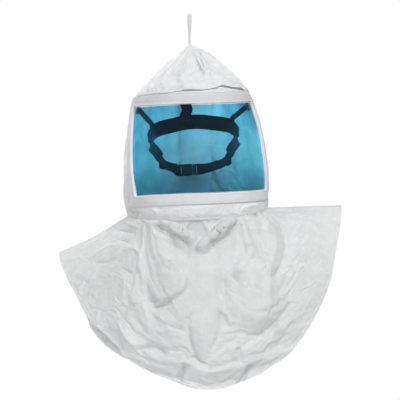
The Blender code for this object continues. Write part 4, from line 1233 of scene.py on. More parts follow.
def on_binding(across, up, share, lift=0.0):
    """Points and normals of the folded tape: a raised inner edge, two stitched grooves and a
    thin outer edge. share is 0 at the inner edge and 1 at the outer one."""
    base = on_window(across, up)
    normal = hood_normal(*window_at(across, up))
    height = (2.0 + 0.55 * bell(share, 0, 0.09) - 0.45 * bell(share, 0.22, 0.05)
              - 0.45 * bell(share, 0.80, 0.05) - 0.75 * smooth(share, 0.93, 1.0))
    height = height + binding_wave(base) + 0.12 * crumple(base, 20.0, 42) + lift
    return base + normal * height[..., None], normal


def window_loop(share, count, repeat):
    """Window coordinates of a line round the opening, a share of the binding's width outside
    it. With repeat each corner comes twice and the line ends where it began."""
    left, low = -BINDING_ACROSS * share, -BINDING_UP * share
    right, high = 1 - left, 1 - low
    half, last = count // 2, count // 2 + repeat

    def run(start, end, number):
        return linspace(start, end, number, endpoint=repeat)

    across = concatenate([run(left, right, count), np.full(half, right),
                          run(right, left, count), np.full(last, left)])
    up = concatenate([np.full(count, low), run(low, high, half),
                      np.full(count, high), run(high, low, last)])
    return across, up


def make_binding():
    def lines(reach, cells):
        return np.array(steps(-reach, 0, 10) + steps(0, 1, cells) + steps(1, 1 + reach, 10)
                        + [1 + reach])
    across_lines, up_lines = lines(BINDING_ACROSS, 150), lines(BINDING_UP, 80)
    across, up = np.meshgrid(across_lines, up_lines)
    out_across = maximum(-across, across - 1) / BINDING_ACROSS
    out_up = maximum(-up, up - 1) / BINDING_UP
    share = np.clip(maximum(out_across, out_up), 0, 1)
    points, _ = on_binding(across, up, share)
    obj = sheet("visor_binding_tape", points, BINDING_TAPE, 1.0,
                keep=outside_opening(across_lines, up_lines))
    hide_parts("visor_binding")
    return obj


def make_lip():
    """The binding's inner edge, which turns down onto the film."""
    rows = []
    for height, share in LIP_ROWS:
        place = window_loop(share, 200, repeat=False)
        base = on_window(*place)
        wave = binding_wave(base) * (1 if height > 1 else 0.3)
        rows.append(base + hood_normal(*window_at(*place)) * (height + wave)[:, None])
    return sheet("binding_lip", np.array(rows), BINDING_EDGE, 0.0, closed=True)


def make_bond_tape():
    def lines(reach, cells):
        return np.array([-reach] + steps(0, 1, cells) + [1.0, 1 + reach])
    across, up = lines(BOND_ACROSS, 60), lines(BOND_UP, 30)
    obj = sheet("bond_tape", on_window(*np.meshgrid(across, up), -1.6), BINDING_TAPE, 0.6,
                keep=outside_opening(across, up))
    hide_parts("lens_bond_tape")
    return obj


def make_film():
    """The cover film, with slight bubbles and lifted edges."""
    across, up = np.meshgrid(linspace(0.006, 0.994, 170), linspace(0.012, 0.988, 110))
    base = on_window(across, up)
    inset = minimum(minimum(across, 1 - across) * WINDOW_WIDTH,
                    minimum(up, 1 - up) * WINDOW_HEIGHT)
    lift = (-2.15 + 0.16 * waves(base, 60.0, 8, 61) + 0.10 * crumple(base, 34.0, 62)
            + 0.5 * bell(inset, 0, 2.2))
    obj = sheet("cover_film", on_window(across, up, lift), FILM, 0.0)
    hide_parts("visor_film")
    return obj


binding = make_binding()
lip = make_lip()
bond = make_bond_tape()
film = make_film()
NODES["visor_lens"].material_slots[0].material = LENS

# ---------------------------------------------------------------- cape

CAPE_GAP = 0.8                  # least distance of each cape from the plane y = 0
FRONT_REACH, REAR_REACH = 176.0, 150.0
CAPE_GROW = 0.016
HEM_STITCH_PLACE = 0.965        # share of the way from neck to hem
# The cape's outline in the front projection, x and z, from the left corner round the bottom
# to the right corner.
OUTLINE = np.array([
    (-267.9, 260.3), (-266.95, 247), (-263.15, 235.6), (-258.02, 224.2), (-253.65, 212.8),
    (-247.95, 201.4), (-242.25, 190), (-236.55, 178.6), (-230.85, 167.2), (-227.05, 155.8),
    (-222.3, 144.4), (-216.6, 133), (-209.95, 121.6), (-200.45, 110.2), (-190, 98.8),
    (-178.6, 87.4), (-164.35, 76), (-149.15, 64.6), (-131.1, 53.2), (-110.2, 41.8),
    (-85.5, 30.4), (-56.05, 19), (-25.65, 7.6), (-4.75, 1.9), (19.95, -0.38), (40.85, 2.66),
    (56.05, 8.36), (82.65, 19), (109.25, 30.4), (128.25, 41.8), (147.25, 53.2),
    (162.45, 64.6), (173.85, 76), (184.3, 87.4), (194.75, 98.8), (201.4, 110.2),
    (208.05, 121.6), (214.7, 133), (220.4, 144.4), (226.1, 155.8), (231.8, 167.2),
    (236.55, 178.6), (241.3, 190), (245.1, 201.4), (248.9, 212.8), (250.8, 224.2),
    (252.7, 235.6), (254.6, 247), (256.5, 258.4), (258.4, 269.8), (260.3, 281.2),
    (262.2, 292.6), (264.1, 304), (265.62, 315.4), (266.57, 326.8), (267.52, 338.2),
    (267.52, 349.6),
], float)
OUTLINE_SHARE = path_length(OUTLINE)
OUTLINE_SHARE /= OUTLINE_SHARE[-1]

CAPE_NECK_FOLDS = read_folds("""
# rolled pleat at the left of the neck, and the hollow under it
9 9.5 12.35 1.3 .2 .2: -128.25 347.7, -95.95 332.5, -57.95 311.6, -27.55 296.4, -0.95 286.9
-7 13.3 17.1: -80.75 288.8, -50.35 277.4, -27.55 262.2, -31.35 241.3
-4 5.7 5.7: -95.95 311.6, -65.55 296.4, -42.75 285
# rolled pleat at the right, its upper crease and its underside
9 13.3 11.4 1.3 .25 .2: 75.05 336.3, 46.55 315.4, 16.15 288.8, -10.45 264.1
-8 4.94 4.56: 80.75 353.4, 71.25 332.5, 57.95 305.9
-6 13.3 10.45: 71.25 298.3, 48.45 285, 21.85 271.7, -2.85 256.5
# tuck under the chin
-7 2.66 15.2 1.6 .12 .12: -71.25 320.15, -42.75 323.95, -0.95 326.8, 44.65 329.65
-7 15.2 22.8: -27.55 309.7, -4.75 302.1, 14.25 309.7
# knot of small folds right of the neck
-6 7.6 8.55: 88.35 343.9, 99.75 338.2, 111.15 338.2
5 6.65 7.6: 71.25 321.1, 94.05 307.8, 120.65 307.8
4 7.6 7.6: 75.05 311.6, 86.45 292.6, 97.85 273.6
4 7.6 9.5: 116.85 334.4, 128.25 315.4, 124.45 292.6
""")
CAPE_BODY_FOLDS = read_folds("""
# long crease that sets off the flat right wing
-8 6.08 11.4: 141.55 347.7, 152.95 317.3, 162.45 288.8, 160.55 262.2, 149.15 235.6, 132.05 205.2
6 10.45 15.2: 126.35 338.2, 143.45 300.2, 141.55 258.4, 120.65 216.6
# arc below the right pleat and the facet beyond it
7 9.5 11.4: 71.25 288.8, 97.85 271.7, 88.35 247, 59.85 214.7
19 22.8 57 1.25 .15 .3: 120.65 254.6, 126.35 178.6, 109.25 102.6
-6 22.8 13.3: 48.45 228, 44.65 174.8, 48.45 114
3 5.7 5.7: 116.85 239.4, 111.15 216.6, 107.35 193.8
# edge of the left fold that lies over the middle
8 4.18 45.6 1.4 .15 .15: -80.75 262.2, -50.35 245.1, -33.25 220.4, -33.25 197.6, -57.95 180.5, -92.15 161.5
-5 4.18 4.94: -109.25 172.9, -82.65 171, -56.05 178.6
-5.5 3.8 4.94: -95.95 157.7, -71.25 163.4, -52.25 174.8
2.5 4.75 4.75: -46.55 226.1, -61.75 216.6, -76.95 203.3
2.5 4.75 4.75: -42.75 210.9, -57.95 201.4, -71.25 193.8
3.5 24.7 24.7: 0.95 250.8, 2.85 209, 4.75 171
-4 7.6 7.6: 35.15 243.2, 33.25 205.2, 38.95 171
# leaf-shaped fold low in the middle
7 15.2 15.2 1.3 .45 .4: 10.45 172.9, 4.75 140.6, 2.85 98.8, 6.65 60.8
-5 15.2 7.6: 27.55 165.3, 38.95 140.6, 33.25 106.4, 14.25 70.3
-4 4.94 7.6: -6.65 163.4, -21.85 133, -18.05 91.2, -2.85 60.8
4.5 5.7 5.7: 35.15 159.6, 48.45 148.2, 59.85 125.4
# folds low on the left
6.5 6.08 8.55: -158.65 136.8, -145.35 108.3, -126.35 89.3, -101.65 91.2
-7.5 5.7 13.3: -126.35 74.1, -97.85 85.5, -76.95 79.8, -63.65 62.7
5 7.6 15.2: -137.75 171, -111.15 165.3, -99.75 136.8, -95.95 106.4
-4 7.6 5.7: -154.85 136.8, -130.15 159.6, -103.55 171
4 11.4 11.4: -92.15 152, -69.35 136.8, -54.15 106.4
-2.5 5.7 5.7: -76.95 133, -46.55 121.6, -27.55 114
# hem puckers
-8 5.7 4.94 1.6 .3 .02: -27.55 57, -35.15 38, -44.65 17.1
-8 4.94 5.7 1.6 .3 .02: 97.85 55.1, 88.35 36.1, 76.95 11.4
-6 4.56 5.7: -14.25 72.2, -4.75 60.8, 10.45 53.2
-4.5 5.7 7.6: 67.45 87.4, 75.05 64.6, 71.25 45.6
4 7.6 7.6: 48.45 91.2, 59.85 76, 67.45 60.8
-4 9.5 11.4: 166.25 114, 151.05 91.2, 128.25 68.4
3 7.6 9.5: 40.85 34.2, 56.05 45.6, 86.45 53.2
# shallow creases across the flat parts
2.4 5.7 8.55: -213.75 247, -194.75 262.2, -171.95 273.6, -145.35 277.4
-2 4.75 5.7: -206.15 243.2, -175.75 243.2, -156.75 254.6
3 5.7 5.7: -149.15 266, -130.15 269.8, -116.85 258.4, -133.95 243.2
-2 5.7 5.7: -183.35 273.6, -152.95 285, -126.35 273.6
-2.2 5.7 5.7: -152.95 235.6, -133.95 224.2, -111.15 228
2 5.7 7.6: -145.35 224.2, -145.35 193.8, -149.15 171
1.5 11.4 11.4: -247.95 231.8, -221.35 216.6, -194.75 209
-1.6 5.7 5.7: 230.85 300.2, 246.05 307.8, 253.65 319.2
1.8 9.5 9.5: 208.05 334.4, 192.85 319.2, 181.45 292.6
2.6 13.3 13.3: 189.05 243.2, 177.65 197.6, 170.05 148.2
2 15.2 19: 230.85 243.2, 215.65 190, 189.05 136.8
""")
# folds added after the cloth has settled
CAPE_FINE_FOLDS = read_folds("""
# small knots and puffs where the cape is gathered into the neck seam
3.4 4.18 4.18: -137.75 342, -122.55 336.3, -107.35 324.9
-3.6 3.04 3.8: -132.05 328.7, -116.85 324.9, -101.65 313.5
-3.4 2.85 3.42: -113.05 345.8, -101.65 336.3, -95.95 323
3 3.8 3.04: -95.95 338.2, -76.95 324.9, -54.15 315.4
-3.2 2.85 3.42: -84.55 321.1, -61.75 307.8, -35.15 302.1
-5 1.9 5.7 1.6 .15 .15: -61.75 318.44, -31.35 323, 6.65 325.66, 40.85 327.94
3.4 4.18 4.18: -46.55 313.5, -16.15 315.4, 14.25 319.2
3.2 3.42 3.42: 48.45 336.3, 61.75 342, 76.95 347.7
-3.6 2.85 3.04: 52.25 328.7, 67.45 328.7, 82.65 334.4
3.6 3.42 3.42: 86.45 349.6, 97.85 343.9, 109.25 332.5
-4 2.85 3.23: 92.15 338.2, 105.45 332.5, 116.85 321.1
-2.6 2.66 3.04: 105.45 349.6, 116.85 340.1, 124.45 326.8
2.8 3.42 3.42: 82.65 324.9, 101.65 319.2, 116.85 311.6
2.6 3.8 4.56: -156.75 324.9, -137.75 315.4, -114.95 307.8
-2.4 3.8 4.94: -175.75 311.6, -149.15 302.1, -118.75 296.4
-1.8 3.8 4.56: -145.35 334.4, -156.75 319.2, -164.35 300.2
# the two rolled pleats that cross under the chin, with their undersides
9 3.8 17.1 1.3 .15 .1: -126.35 351.5, -99.75 338.2, -65.55 319.2, -31.35 302.1, 0.95 286.9
-6 7.6 5.7 1.4 .2 .25: -95.95 319.2, -65.55 302.1, -38.95 288.8, -25.65 273.6, -31.35 250.8
9 15.2 4.18 1.3 .15 .15: 80.75 343.9, 63.65 326.8, 37.05 305.9, 10.45 285, -12.35 260.3
-4.5 7.6 11.4 1.4 .25 .2: 88.35 326.8, 67.45 304, 40.85 285, 10.45 266
-5 11.4 7.6 1.5 .2 .2: -46.55 315.4, -19.95 305.9, 4.75 292.6
""")
# folds of the rear cape: place along the hem, width, height, and sideways lean
REAR_FOLDS = (
    (0.14, 0.030, 7.0, 0.05), (0.27, 0.035, -8.0, 0.04), (0.36, 0.03, 9.0, 0.02),
    (0.47, 0.035, -7.0, -0.01), (0.56, 0.028, 9.0, -0.02), (0.66, 0.035, -8.0, -0.04),
    (0.76, 0.03, 8.0, -0.06), (0.87, 0.03, -5.0, -0.05),
)


def hem(share, front):
    """The hem's points; share runs 0 to 1 along the outline."""
    x, z = (np.interp(share, OUTLINE_SHARE, OUTLINE[:, k]) for k in (0, 1))
    bulge = maximum(sin(pi * share), 0.0) ** 0.75
    low_left = bell(share, 0.215, 0.07)
    if front:
        y = -CAPE_GAP - FRONT_REACH * bulge
        aside = np.clip((x - 19.95) / 22.8, -1.0, 1.0)
        left = 8.55 * smooth(z, 76.0, 60.8) * (1 - 0.5 * smooth(z, 26.6, 11.4))
        right = 3.8 * smooth(z, 95.0, 72.2) + 6.65 * smooth(z, 49.4, 19.0)
        right = right * (1 - 0.4 * smooth(z, 15.2, 0.0))
        x = x + 7.98 * low_left + aside * np.where(aside < 0, left, right)
        z = z + 6.46 * low_left
    else:
        y = CAPE_GAP + REAR_REACH * bulge
        inside = smooth(minimum(share, 1 - share), 0.0, 0.16)
        inside = inside * (1 - 0.98 * bell(share, 0.235, 0.085, 4))
        x = x + 0.025 * (8.55 - x) * inside - 2.85 * low_left
        z = z + 0.055 * (349.6 - z) * inside - 1.9 * low_left
    return placed_at_depth(x, z, y)


def cape_base(front):
    """Share along the hem, share of the way down, and points of the plain cape."""
    share, down = np.meshgrid(linspace(0, 1, 181), linspace(0, 1, 117))
    side = -1.0 if front else 1.0
    angle = 180.0 - side * 180.0 * share
    neck = on_wall(angle % 360.0, neck_line(angle) - 0.4)
    neck[..., 1] = side * maximum(side * neck[..., 1], CAPE_GAP)
    points = neck * (1 - down[..., None]) + hem(share, front) * down[..., None]
    middle = sin(pi * share)
    points[..., 1] += side * 22.0 * middle * sin(pi * down)
    points[..., 2] -= 5.5 * sin(pi * down) * bell(share, 0, 0.14)
    wave = sin(2 * pi * (3.5 * share + 0.15)) * 7.0 + sin(2 * pi * (5.5 * share + 0.4)) * 3.0
    points[..., 1] += wave * down * maximum(middle, 0) ** 1.2
    return share, down, points


def cape_normals(points, front):
    normal = grid_normals(points)
    return -normal if (normal[..., 1].mean() > 0) == front else normal


def front_cape_relief(points, share, down, rim, free):
    x, _ = seen_from_front(points)
    shape = points * np.array([1.0, 0.6, 1.0])
    calm_wing = 1 - 0.5 * smooth(x, 158.65, 189.05)
    relief = 0.7 * unevenness(shape, 71) * free * calm_wing
    folds = folds_relief(points, CAPE_NECK_FOLDS + CAPE_BODY_FOLDS)
    relief = relief + folds * smooth(rim, 0.0, 0.02) * smooth(down, 0.0, 0.03)
    return relief - 9.0 * smooth(down, 0.80, 1.0) * sin(pi * share) ** 2


def rear_cape_relief(points, share, down, free):
    relief = 0.8 * unevenness(points * np.array([1.0, 0.6, 1.0]), 81) * free
    for k, (place, width, height, lean) in enumerate(REAR_FOLDS):
        line = place + lean * down + 0.012 * sin(5 * down + k)
        fade = smooth(down, 0.05, 0.45) * (1 - 0.35 * smooth(down, 0.75, 1.0))
        relief = relief + height * bell(share, line, width, 1.5) * fade
    # puckers along the neck
    for k in range(9):
        pucker = bell(share, 0.1 + 0.1 * k, 0.012, 1.5)
        relief = relief - 2.6 * pucker * (1 - smooth(down, 0.04, 0.22))
    return relief - 5.0 * smooth(down, 0.9, 1.0) * sin(pi * share) ** 2


def make_cape(front):
    """Returns the cape's object, and its points and normals for the seams."""
    share, down, points = cape_base(front)
    normal = cape_normals(points, front)
    rim = minimum(share, 1 - share)
    free = smooth(np.clip(rim / 0.035, 0, 1)) * smooth(down, 0.0, 0.06)
    if front:
        relief = front_cape_relief(points, share, down, rim, free)
    else:
        relief = rear_cape_relief(points, share, down, free)
    relief = np.clip(relief, -20.0, 19.0)
    points = points + normal * relief[..., None] * np.array([0.55, 1.0, 0.75])
    hold = np.where((down <= 0.0) | (rim <= 0.0), 1.0, 0.0)
    hold = maximum(maximum(hold, 0.9 * (down > 0.995)), 0.10)
    if front:
        x, _ = seen_from_front(points)
        hold = maximum(hold, 0.22 * smooth(x, 158.65, 189.05))
        hold = maximum(hold, 0.17 * smooth(-x, 95.95, 152.95))
    name = "cape_front" if front else "cape_rear"
    points = crease_by_cloth(name + "_form", points, hold, CAPE_GROW, bend=0.35, most=12.0)
    points = doubled(points)
    share, down = (doubled(grid[..., None])[..., 0] for grid in (share, down))
    normal = cape_normals(points, front)
    rim = minimum(share, 1 - share)
    fine = smooth(rim, 0.0, 0.03) * smooth(down, 0.0, 0.05)
    relief = (0.42 * crumple(points, 24.0, 131) + 0.22 * crumple(points, 11.0, 132)) * fine
    if front:
        folds = (0.25 * folds_relief(points, CAPE_NECK_FOLDS)
                 + 0.22 * folds_relief(points, CAPE_BODY_FOLDS)
                 + folds_relief(points, CAPE_FINE_FOLDS))
        relief = relief + folds * smooth(down, 0.0, 0.03) * smooth(rim, 0.0, 0.02)
    # the groove of the hem's stitching
    relief = relief - 0.7 * bell(down, 0.962, 0.0035) * fine
    points = points + normal * relief[..., None]
    side = -1.0 if front else 1.0
    points[..., 1] = side * maximum(side * points[..., 1], CAPE_GAP)
    obj = sheet(name + "_fabric", points, FABRIC, flip=not front)
    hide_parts(name)
    return obj, points, normal


cape_front, front_points, front_normals = make_cape(True)
cape_rear, rear_points, rear_normals = make_cape(False)

# ---------------------------------------------------------------- inner bib


def make_bib(front):
    angles = linspace(177.0, 363.0, 220) if front else linspace(1.0, 179.0, 220)
    angle, down = np.meshgrid(angles, linspace(0, 1, 150))
    turn = radians(angle)
    top = neck_line(angle) - 1.5
    neck = on_hood(angle, top, -3.4 if front else -4.6)
    low = 96.0 + 30 * np.abs(cos(turn)) ** 3
    shrink = 1 - 0.10 * down
    points = np.stack([
        -9 + (neck[..., 0] + 9) * shrink,
        neck[..., 1] * shrink + 3.0 * sin(turn * 9) * down,
        top + (low - top) * down,
    ], -1)
    ripples = 2.2 * sin(turn * 17 + 2 * sin(down * 5)) * smooth(down, 0.0, 0.5)
    relief = (ripples + unevenness(points, 91)) * smooth(down, 0.0, 0.15)
    points = points + grid_normals(points) * relief[..., None]
    name = "inner_bib_front" if front else "inner_bib_rear"
    obj = sheet(name + "_fabric", points, BIB_FABRIC_PAINTED_SHADE, 0.45)
    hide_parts(name)
    return obj


bib_front, bib_rear = make_bib(True), make_bib(False)

# ---------------------------------------------------------------- seams and stitching

THREAD_LIFT = 0.10


def make_neck_seam():
    angle = linspace(0.6, 359.4, 900)
    z = neck_line(angle) - 0.3
    normal = hood_normal(angle, z)
    seam = seam_roll("neck_seam", on_wall(angle, z) + normal * 0.45, normal, 4.6, 1.15, 0.35)
    z = neck_line(angle) + 5.0
    normal = hood_normal(angle, z)
    line = on_wall(angle, z) + normal * THREAD_LIFT
    return seam, stitches("neck_stitching", line, normal, pitch=3.0)


def make_back_seam():
    """The upright seam from above the inlet to the crown, with a row of stitches beside it."""
    z = linspace(INLET_Z + 30.6, crown_line(90.0) - 1, 220)
    angle = np.full(220, 90.0)
    normal = hood_normal(angle, z)
    seam = seam_roll("back_seam", on_wall(angle, z) + normal * 0.3, normal, 5.0, 1.0, 0.25)
    line = on_wall(angle + 3.4, z) + normal * THREAD_LIFT
    return seam, stitches("back_stitching", line, normal, pitch=3.0)


def make_shoulder_seam(side, column):
    """The seam between the capes, along their column of points on that side."""
    line = (front_points[:, column] + rear_points[:, column]) / 2
    line[:, 1] = 0.0
    way = unit(line[-1] - line[0])
    line = line[3:]
    out = np.tile(np.array([-0.45 if side == "left" else 0.45, 0.0, 0.9]), (len(line), 1))
    out = unit(out - np.outer(out @ way, way))
    line[-1] -= unit(way) * 0.8
    return (seam_roll(f"shoulder_seam_{side}", line + out * 0.25, out, 5.2, 1.25, 0.3),
            stitches(f"shoulder_stitching_{side}", line + out * 1.35, out))


def binding_stitching(name, share):
    across, up = window_loop(share, 260, repeat=True)
    return stitches(name, *on_binding(across, up, share, THREAD_LIFT), pitch=3.4, radius=0.24)


def hem_stitching(name, points, normals):
    i = int(round(HEM_STITCH_PLACE * (len(points) - 1)))
    out = normals[i, 3:-3]
    return stitches(name, points[i, 3:-3] + out * 0.12, out, pitch=3.6, radius=0.26)


neck_seam, neck_thread = make_neck_seam()
back_seam, back_thread = make_back_seam()
shoulder = [*make_shoulder_seam("left", 0), *make_shoulder_seam("right", -1)]
binding_threads = [binding_stitching("binding_stitching_inner", 0.22),
                   binding_stitching("binding_stitching_outer", 0.80)]
hem_front = hem_stitching("hem_stitching_front", front_points, front_normals)
hem_rear = hem_stitching("hem_stitching_rear", rear_points, rear_normals)

# ---------------------------------------------------------------- hanging loop

# half of the loop: distance behind its middle plane, and height z
LOOP_HALF = [(1.05, 646.0), (1.25, 660.0), (1.4, 668.0), (2.4, 686.0), (4.1, 700.0),
             (4.9, 707.0), (5.2, 711.5), (4.9, 714.0), (3.6, 715.25), (0.0, 715.45)]
BAR_TACK_PROFILE = [(3.0, -4.0), (3.5, -2.5), (3.4, 0.0), (3.5, 2.0), (3.0, 3.2), (2.3, 3.4),
                    (2.2, -4.2)]


def make_loop():
    half = curve_through(LOOP_HALF, 8)
    rear = np.stack([np.full(len(half), APEX_X), APEX_Y + half[:, 0], half[:, 1]], -1)
    front = rear[::-1][1:].copy()
    front[:, 1] = 2 * APEX_Y - front[:, 1]
    path = np.vstack([rear, front])
    z = path[:, 2]
    width = 4.0 + 3.8 * smooth(z, 672.0, 704.0)
    twist = 0.10 * sin((z - 646) / 70 * pi)
    across = np.stack([np.ones(len(path)), twist * np.where(path[:, 1] > APEX_Y, 1.0, -1.0),
                       0 * twist], -1)
    obj = webbing("hanging_loop_tape", path, across, width, 1.05, TAPE, ribs=7, cells=24)
    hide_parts("hang_loop")
    return obj


def make_bar_tack():
    """Thread wound round the crown's tip."""
    obj = lathe("apex_bar_tack", BAR_TACK_PROFILE, (APEX_X, APEX_Y, 649.2), (0, 0, 1), THREAD,
                64)
    centre_x, centre_y = APEX_X / 1000, (APEX_Y + HOOD_Y) / 1000
    for vert in obj.data.vertices:
        x, y, z = vert.co.x - centre_x, vert.co.y - centre_y, vert.co.z * 1000
        bumps = 1 + 0.05 * sin(atan2(y, x) * 9 + z * 1.3) + 0.05 * sin(z * 2 * pi / 0.9)
        vert.co.x = centre_x + x * bumps
        vert.co.y = centre_y + y * bumps
    return obj


loop = make_loop()
apex_wrap = make_bar_tack()

# ---------------------------------------------------------------- head harness
# The bands lie on an ellipse tilted up at the front. Its angles run from the front, 0, to the
# right, 90.

RING_AT = np.array([-12.0, 0.0, 462.0])
RING_SIDE, RING_FRONT = 85.0, 98.0          # half axes
TILT, ROLL = radians(25), radians(3.3)
ROLLED = np.array(Matrix.Rotation(-ROLL, 3, "Y"))
TO_SIDE = ROLLED @ FRONT_AXIS_X
TO_FRONT = ROLLED @ np.array([0.0, -cos(TILT), sin(TILT)])
TO_TOP = ROLLED @ np.array([0.0, sin(TILT), cos(TILT)])
BROW_WIDTH, WEB_WIDTH = 27.0, 19.0
BROW_LEAN, BROW_HEIGHT, BROW_OUT = -12.0, 2.2, 0.8
ELASTIC_FROM, ELASTIC_TO = 78.0, 141.0
CROWN_STRAP_ANGLE = -8.5
BUCKLE_ANGLE = 184.0


def ring_normal(angle):
    turn = radians(np.asarray(angle, float))
    return unit(TO_SIDE * (sin(turn) / RING_SIDE)[..., None]
                + TO_FRONT * (cos(turn) / RING_FRONT)[..., None])


def ring(angle, height=0.0, out=0.0):
    """Points on the ellipse. The brow band's ends hang higher, from the corner straps."""
    turn = radians(np.asarray(angle, float))
    aside = np.abs((np.asarray(angle, float) + 180.0) % 360.0 - 180.0)
    rise = 9.0 * smooth(aside, 22.0, 62.0) * (1 - smooth(aside, 84.0, 122.0))
    return (RING_AT + TO_SIDE * (RING_SIDE * sin(turn))[..., None]
            + TO_FRONT * (RING_FRONT * cos(turn))[..., None]
            + TO_TOP * np.asarray(height + rise)[..., None]
            + ring_normal(angle) * np.asarray(out, float)[..., None])


def leaning(angle, lean):
    """A band's directions across its width and out of its face, for a lean in degrees."""
    lean = radians(np.broadcast_to(lean, angle.shape))[:, None]
    normal = ring_normal(angle)
    return (TO_TOP * cos(lean) - normal * sin(lean),
            unit(normal * cos(lean) + TO_TOP * sin(lean)))


def make_brow_band():
    angle = linspace(-82, 80, 220)
    web = webbing("brow_webbing", ring(angle, BROW_HEIGHT, BROW_OUT),
                  leaning(angle, BROW_LEAN)[0], 28.0, 1.5, WEBBING, ribs=9, cells=30)
    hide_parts("brow_band")
    angle = linspace(-80, 78, 400)
    across, out = leaning(angle, BROW_LEAN)
    threads = []
    for k, offset in enumerate((-11.4, 11.4)):
        line = ring(angle, BROW_HEIGHT, BROW_OUT) + across * offset + out * (1.68 - BROW_OUT)
        threads.append(stitches(f"brow_stitching_{k}", line, out, GREY_THREAD, 3.0))
    return web, threads


def make_sweatband():
    """Padded band: a cushion blown up by a cloth simulation between its stitched edges and
    cross channels."""
    rings, cells = 181, 17
    half_width, half_depth = 11.2, 0.95
    swell = 0.0016              # metres
    angle = linspace(-61.5, 59.5, rings)
    across, out = leaning(angle, BROW_LEAN)
    line = linspace(-1, 1, cells)
    side = concatenate([line, line[::-1]])
    face = np.repeat([1.0, -1.0], cells)
    size = len(side)
    dome = half_depth * face * np.sqrt(maximum(1 - side**4, 0.0))
    ends = np.sqrt(maximum(1 - np.abs(linspace(-1, 1, rings)) ** 40, 0.02))
    points = (ring(angle, BROW_HEIGHT, -1.9)[:, None]
              + across[:, None] * (side * half_width)[None, :, None]
              + out[:, None] * (dome[None] * ends[:, None])[..., None])
    uv = np.stack(np.meshgrid(side * half_width, linspace(0, 190, rings)), -1) / 10.0
    obj = add_mesh("padded_sweatband", points, grid_faces(rings, size, closed=True), TOWELLING,
                   uv.reshape(-1, 2))
    close_ends(obj, rings, size)
    sewn = np.zeros((rings, size), bool)
    for channel in range(-50, 60, 20):
        sewn[np.argmin(np.abs(angle - channel))] = True
    sewn[[0, 1, rings - 2, rings - 1]] = True
    sewn |= (np.abs(side) > 0.9) | (np.arange(size) < cells)
    group = obj.vertex_groups.new(name="sewn")
    group.add(np.nonzero(sewn.ravel())[0].tolist(), 1.0, "REPLACE")
    rest = np.array([vert.co for vert in obj.data.vertices])
    cloth = obj.modifiers.new("pad", "CLOTH")
    pad = cloth.settings
    pad.quality = 5
    pad.mass = 0.15
    pad.tension_stiffness = pad.compression_stiffness = 4
    pad.bending_stiffness = 0.05
    pad.use_pressure = True
    pad.uniform_pressure_force = 6.0
    pad.vertex_group_mass = "sewn"
    pad.effector_weights.gravity = 0.0
    cloth.collision_settings.use_collision = False
    move = run_cloth(obj, cloth) - rest
    obj.modifiers.clear()
    swollen = (rest + limited(move, swell)).astype(np.float32)
    obj.data.vertices.foreach_set("co", swollen.ravel())
    obj.data.update()
    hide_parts("sweatband")
    smoothing = obj.modifiers.new("smooth", "SUBSURF")
    smoothing.levels = smoothing.render_levels = 1
    bake(obj)
    return obj


def make_side_elastic(side, sign, start):
    """The elastic leans over and tucks in between the brow band and the nape."""
    angle = linspace(start, ELASTIC_TO, 150)
    tuck = 9.5 * smooth(angle, 85.0, 108.0) * (1 - smooth(angle, 117.0, 139.0))
    lean_angle = linspace(ELASTIC_FROM, ELASTIC_TO, 150)
    lean = 50.0 * smooth(minimum((lean_angle - 83.5) / 9.0, (121.0 - lean_angle) / 9.0))
    obj = webbing(f"side_elastic_web_{side}", ring(sign * angle, 0.0, -1.6 - tuck),
                  leaning(sign * angle, lean)[0], WEB_WIDTH, 1.15, ELASTIC, ribs=8, cells=30,
                  rib_height=0.14)
    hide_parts(f"side_elastic_{side}")
    return obj


def make_corner_strap(side, angle, anchor):
    """A strap from the brow band up to the window's corner, with its bar tack."""
    out = ring_normal(angle)
    start = ring(angle, BROW_WIDTH / 2 - 6.0, 5.3)
    bend = ring(angle, BROW_WIDTH / 2 + 3.0, 7.2)
    knots = [start, bend] + [bend + (anchor - bend) * k for k in (0.3, 0.6, 0.85, 1.0)]
    path = curve_through(knots, 12)
    way = unit(np.gradient(path, axis=0))
    flat = unit(np.cross(out, way))
    ahead = unit(np.cross(way, np.array([0.0, 1.0, 0.0])))
    ahead = ahead * np.sign((flat * ahead).sum(1).mean())
    turned = smooth(linspace(0, 1, len(path)), -0.2, 0.22)[:, None]
    across = unit(flat * (1 - turned) + ahead * turned)
    web = webbing(f"corner_web_{side}", path, across, 9.6, 1.15, WEBBING, ribs=4, cells=20)
    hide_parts(f"corner_strap_{side}")
    row = linspace(path[3] - across[3] * 3.2, path[3] + across[3] * 3.2, 20)
    rows = np.vstack([row, row[::-1] + (path[8] - path[3]), row + (path[12] - path[3]) * 0.8])
    tack = stitches(f"corner_tack_{side}", rows + out * 0.62, np.tile(out, (60, 1)),
                    GREY_THREAD, 1.3, 0.24)
    return web, tack


# the crown strap's bends behind the brow band, up to the seam patch under the crown
CROWN_STRAP_BENDS = np.array([
    (-24.5, -98.0, 527.5), (-28.0, -93.0, 538.0), (-30.6, -84.0, 550.0), (-29.7, -70.0, 555.2),
    (-31.5, -56.0, 560.5), (-32.0, -51.5, 562.3), (-33.5, -30.0, 573.0), (-35.0, -8.0, 586.0),
    (-35.0, 10.0, 596.0), (-35.0, 15.5, 600.6),
])
# the box stitch's corners: along the brow band, and up
BOX_STITCH = [(-8, -9), (8, -9), (8, 7), (-8, 7), (-8, -9), (8, 7)]


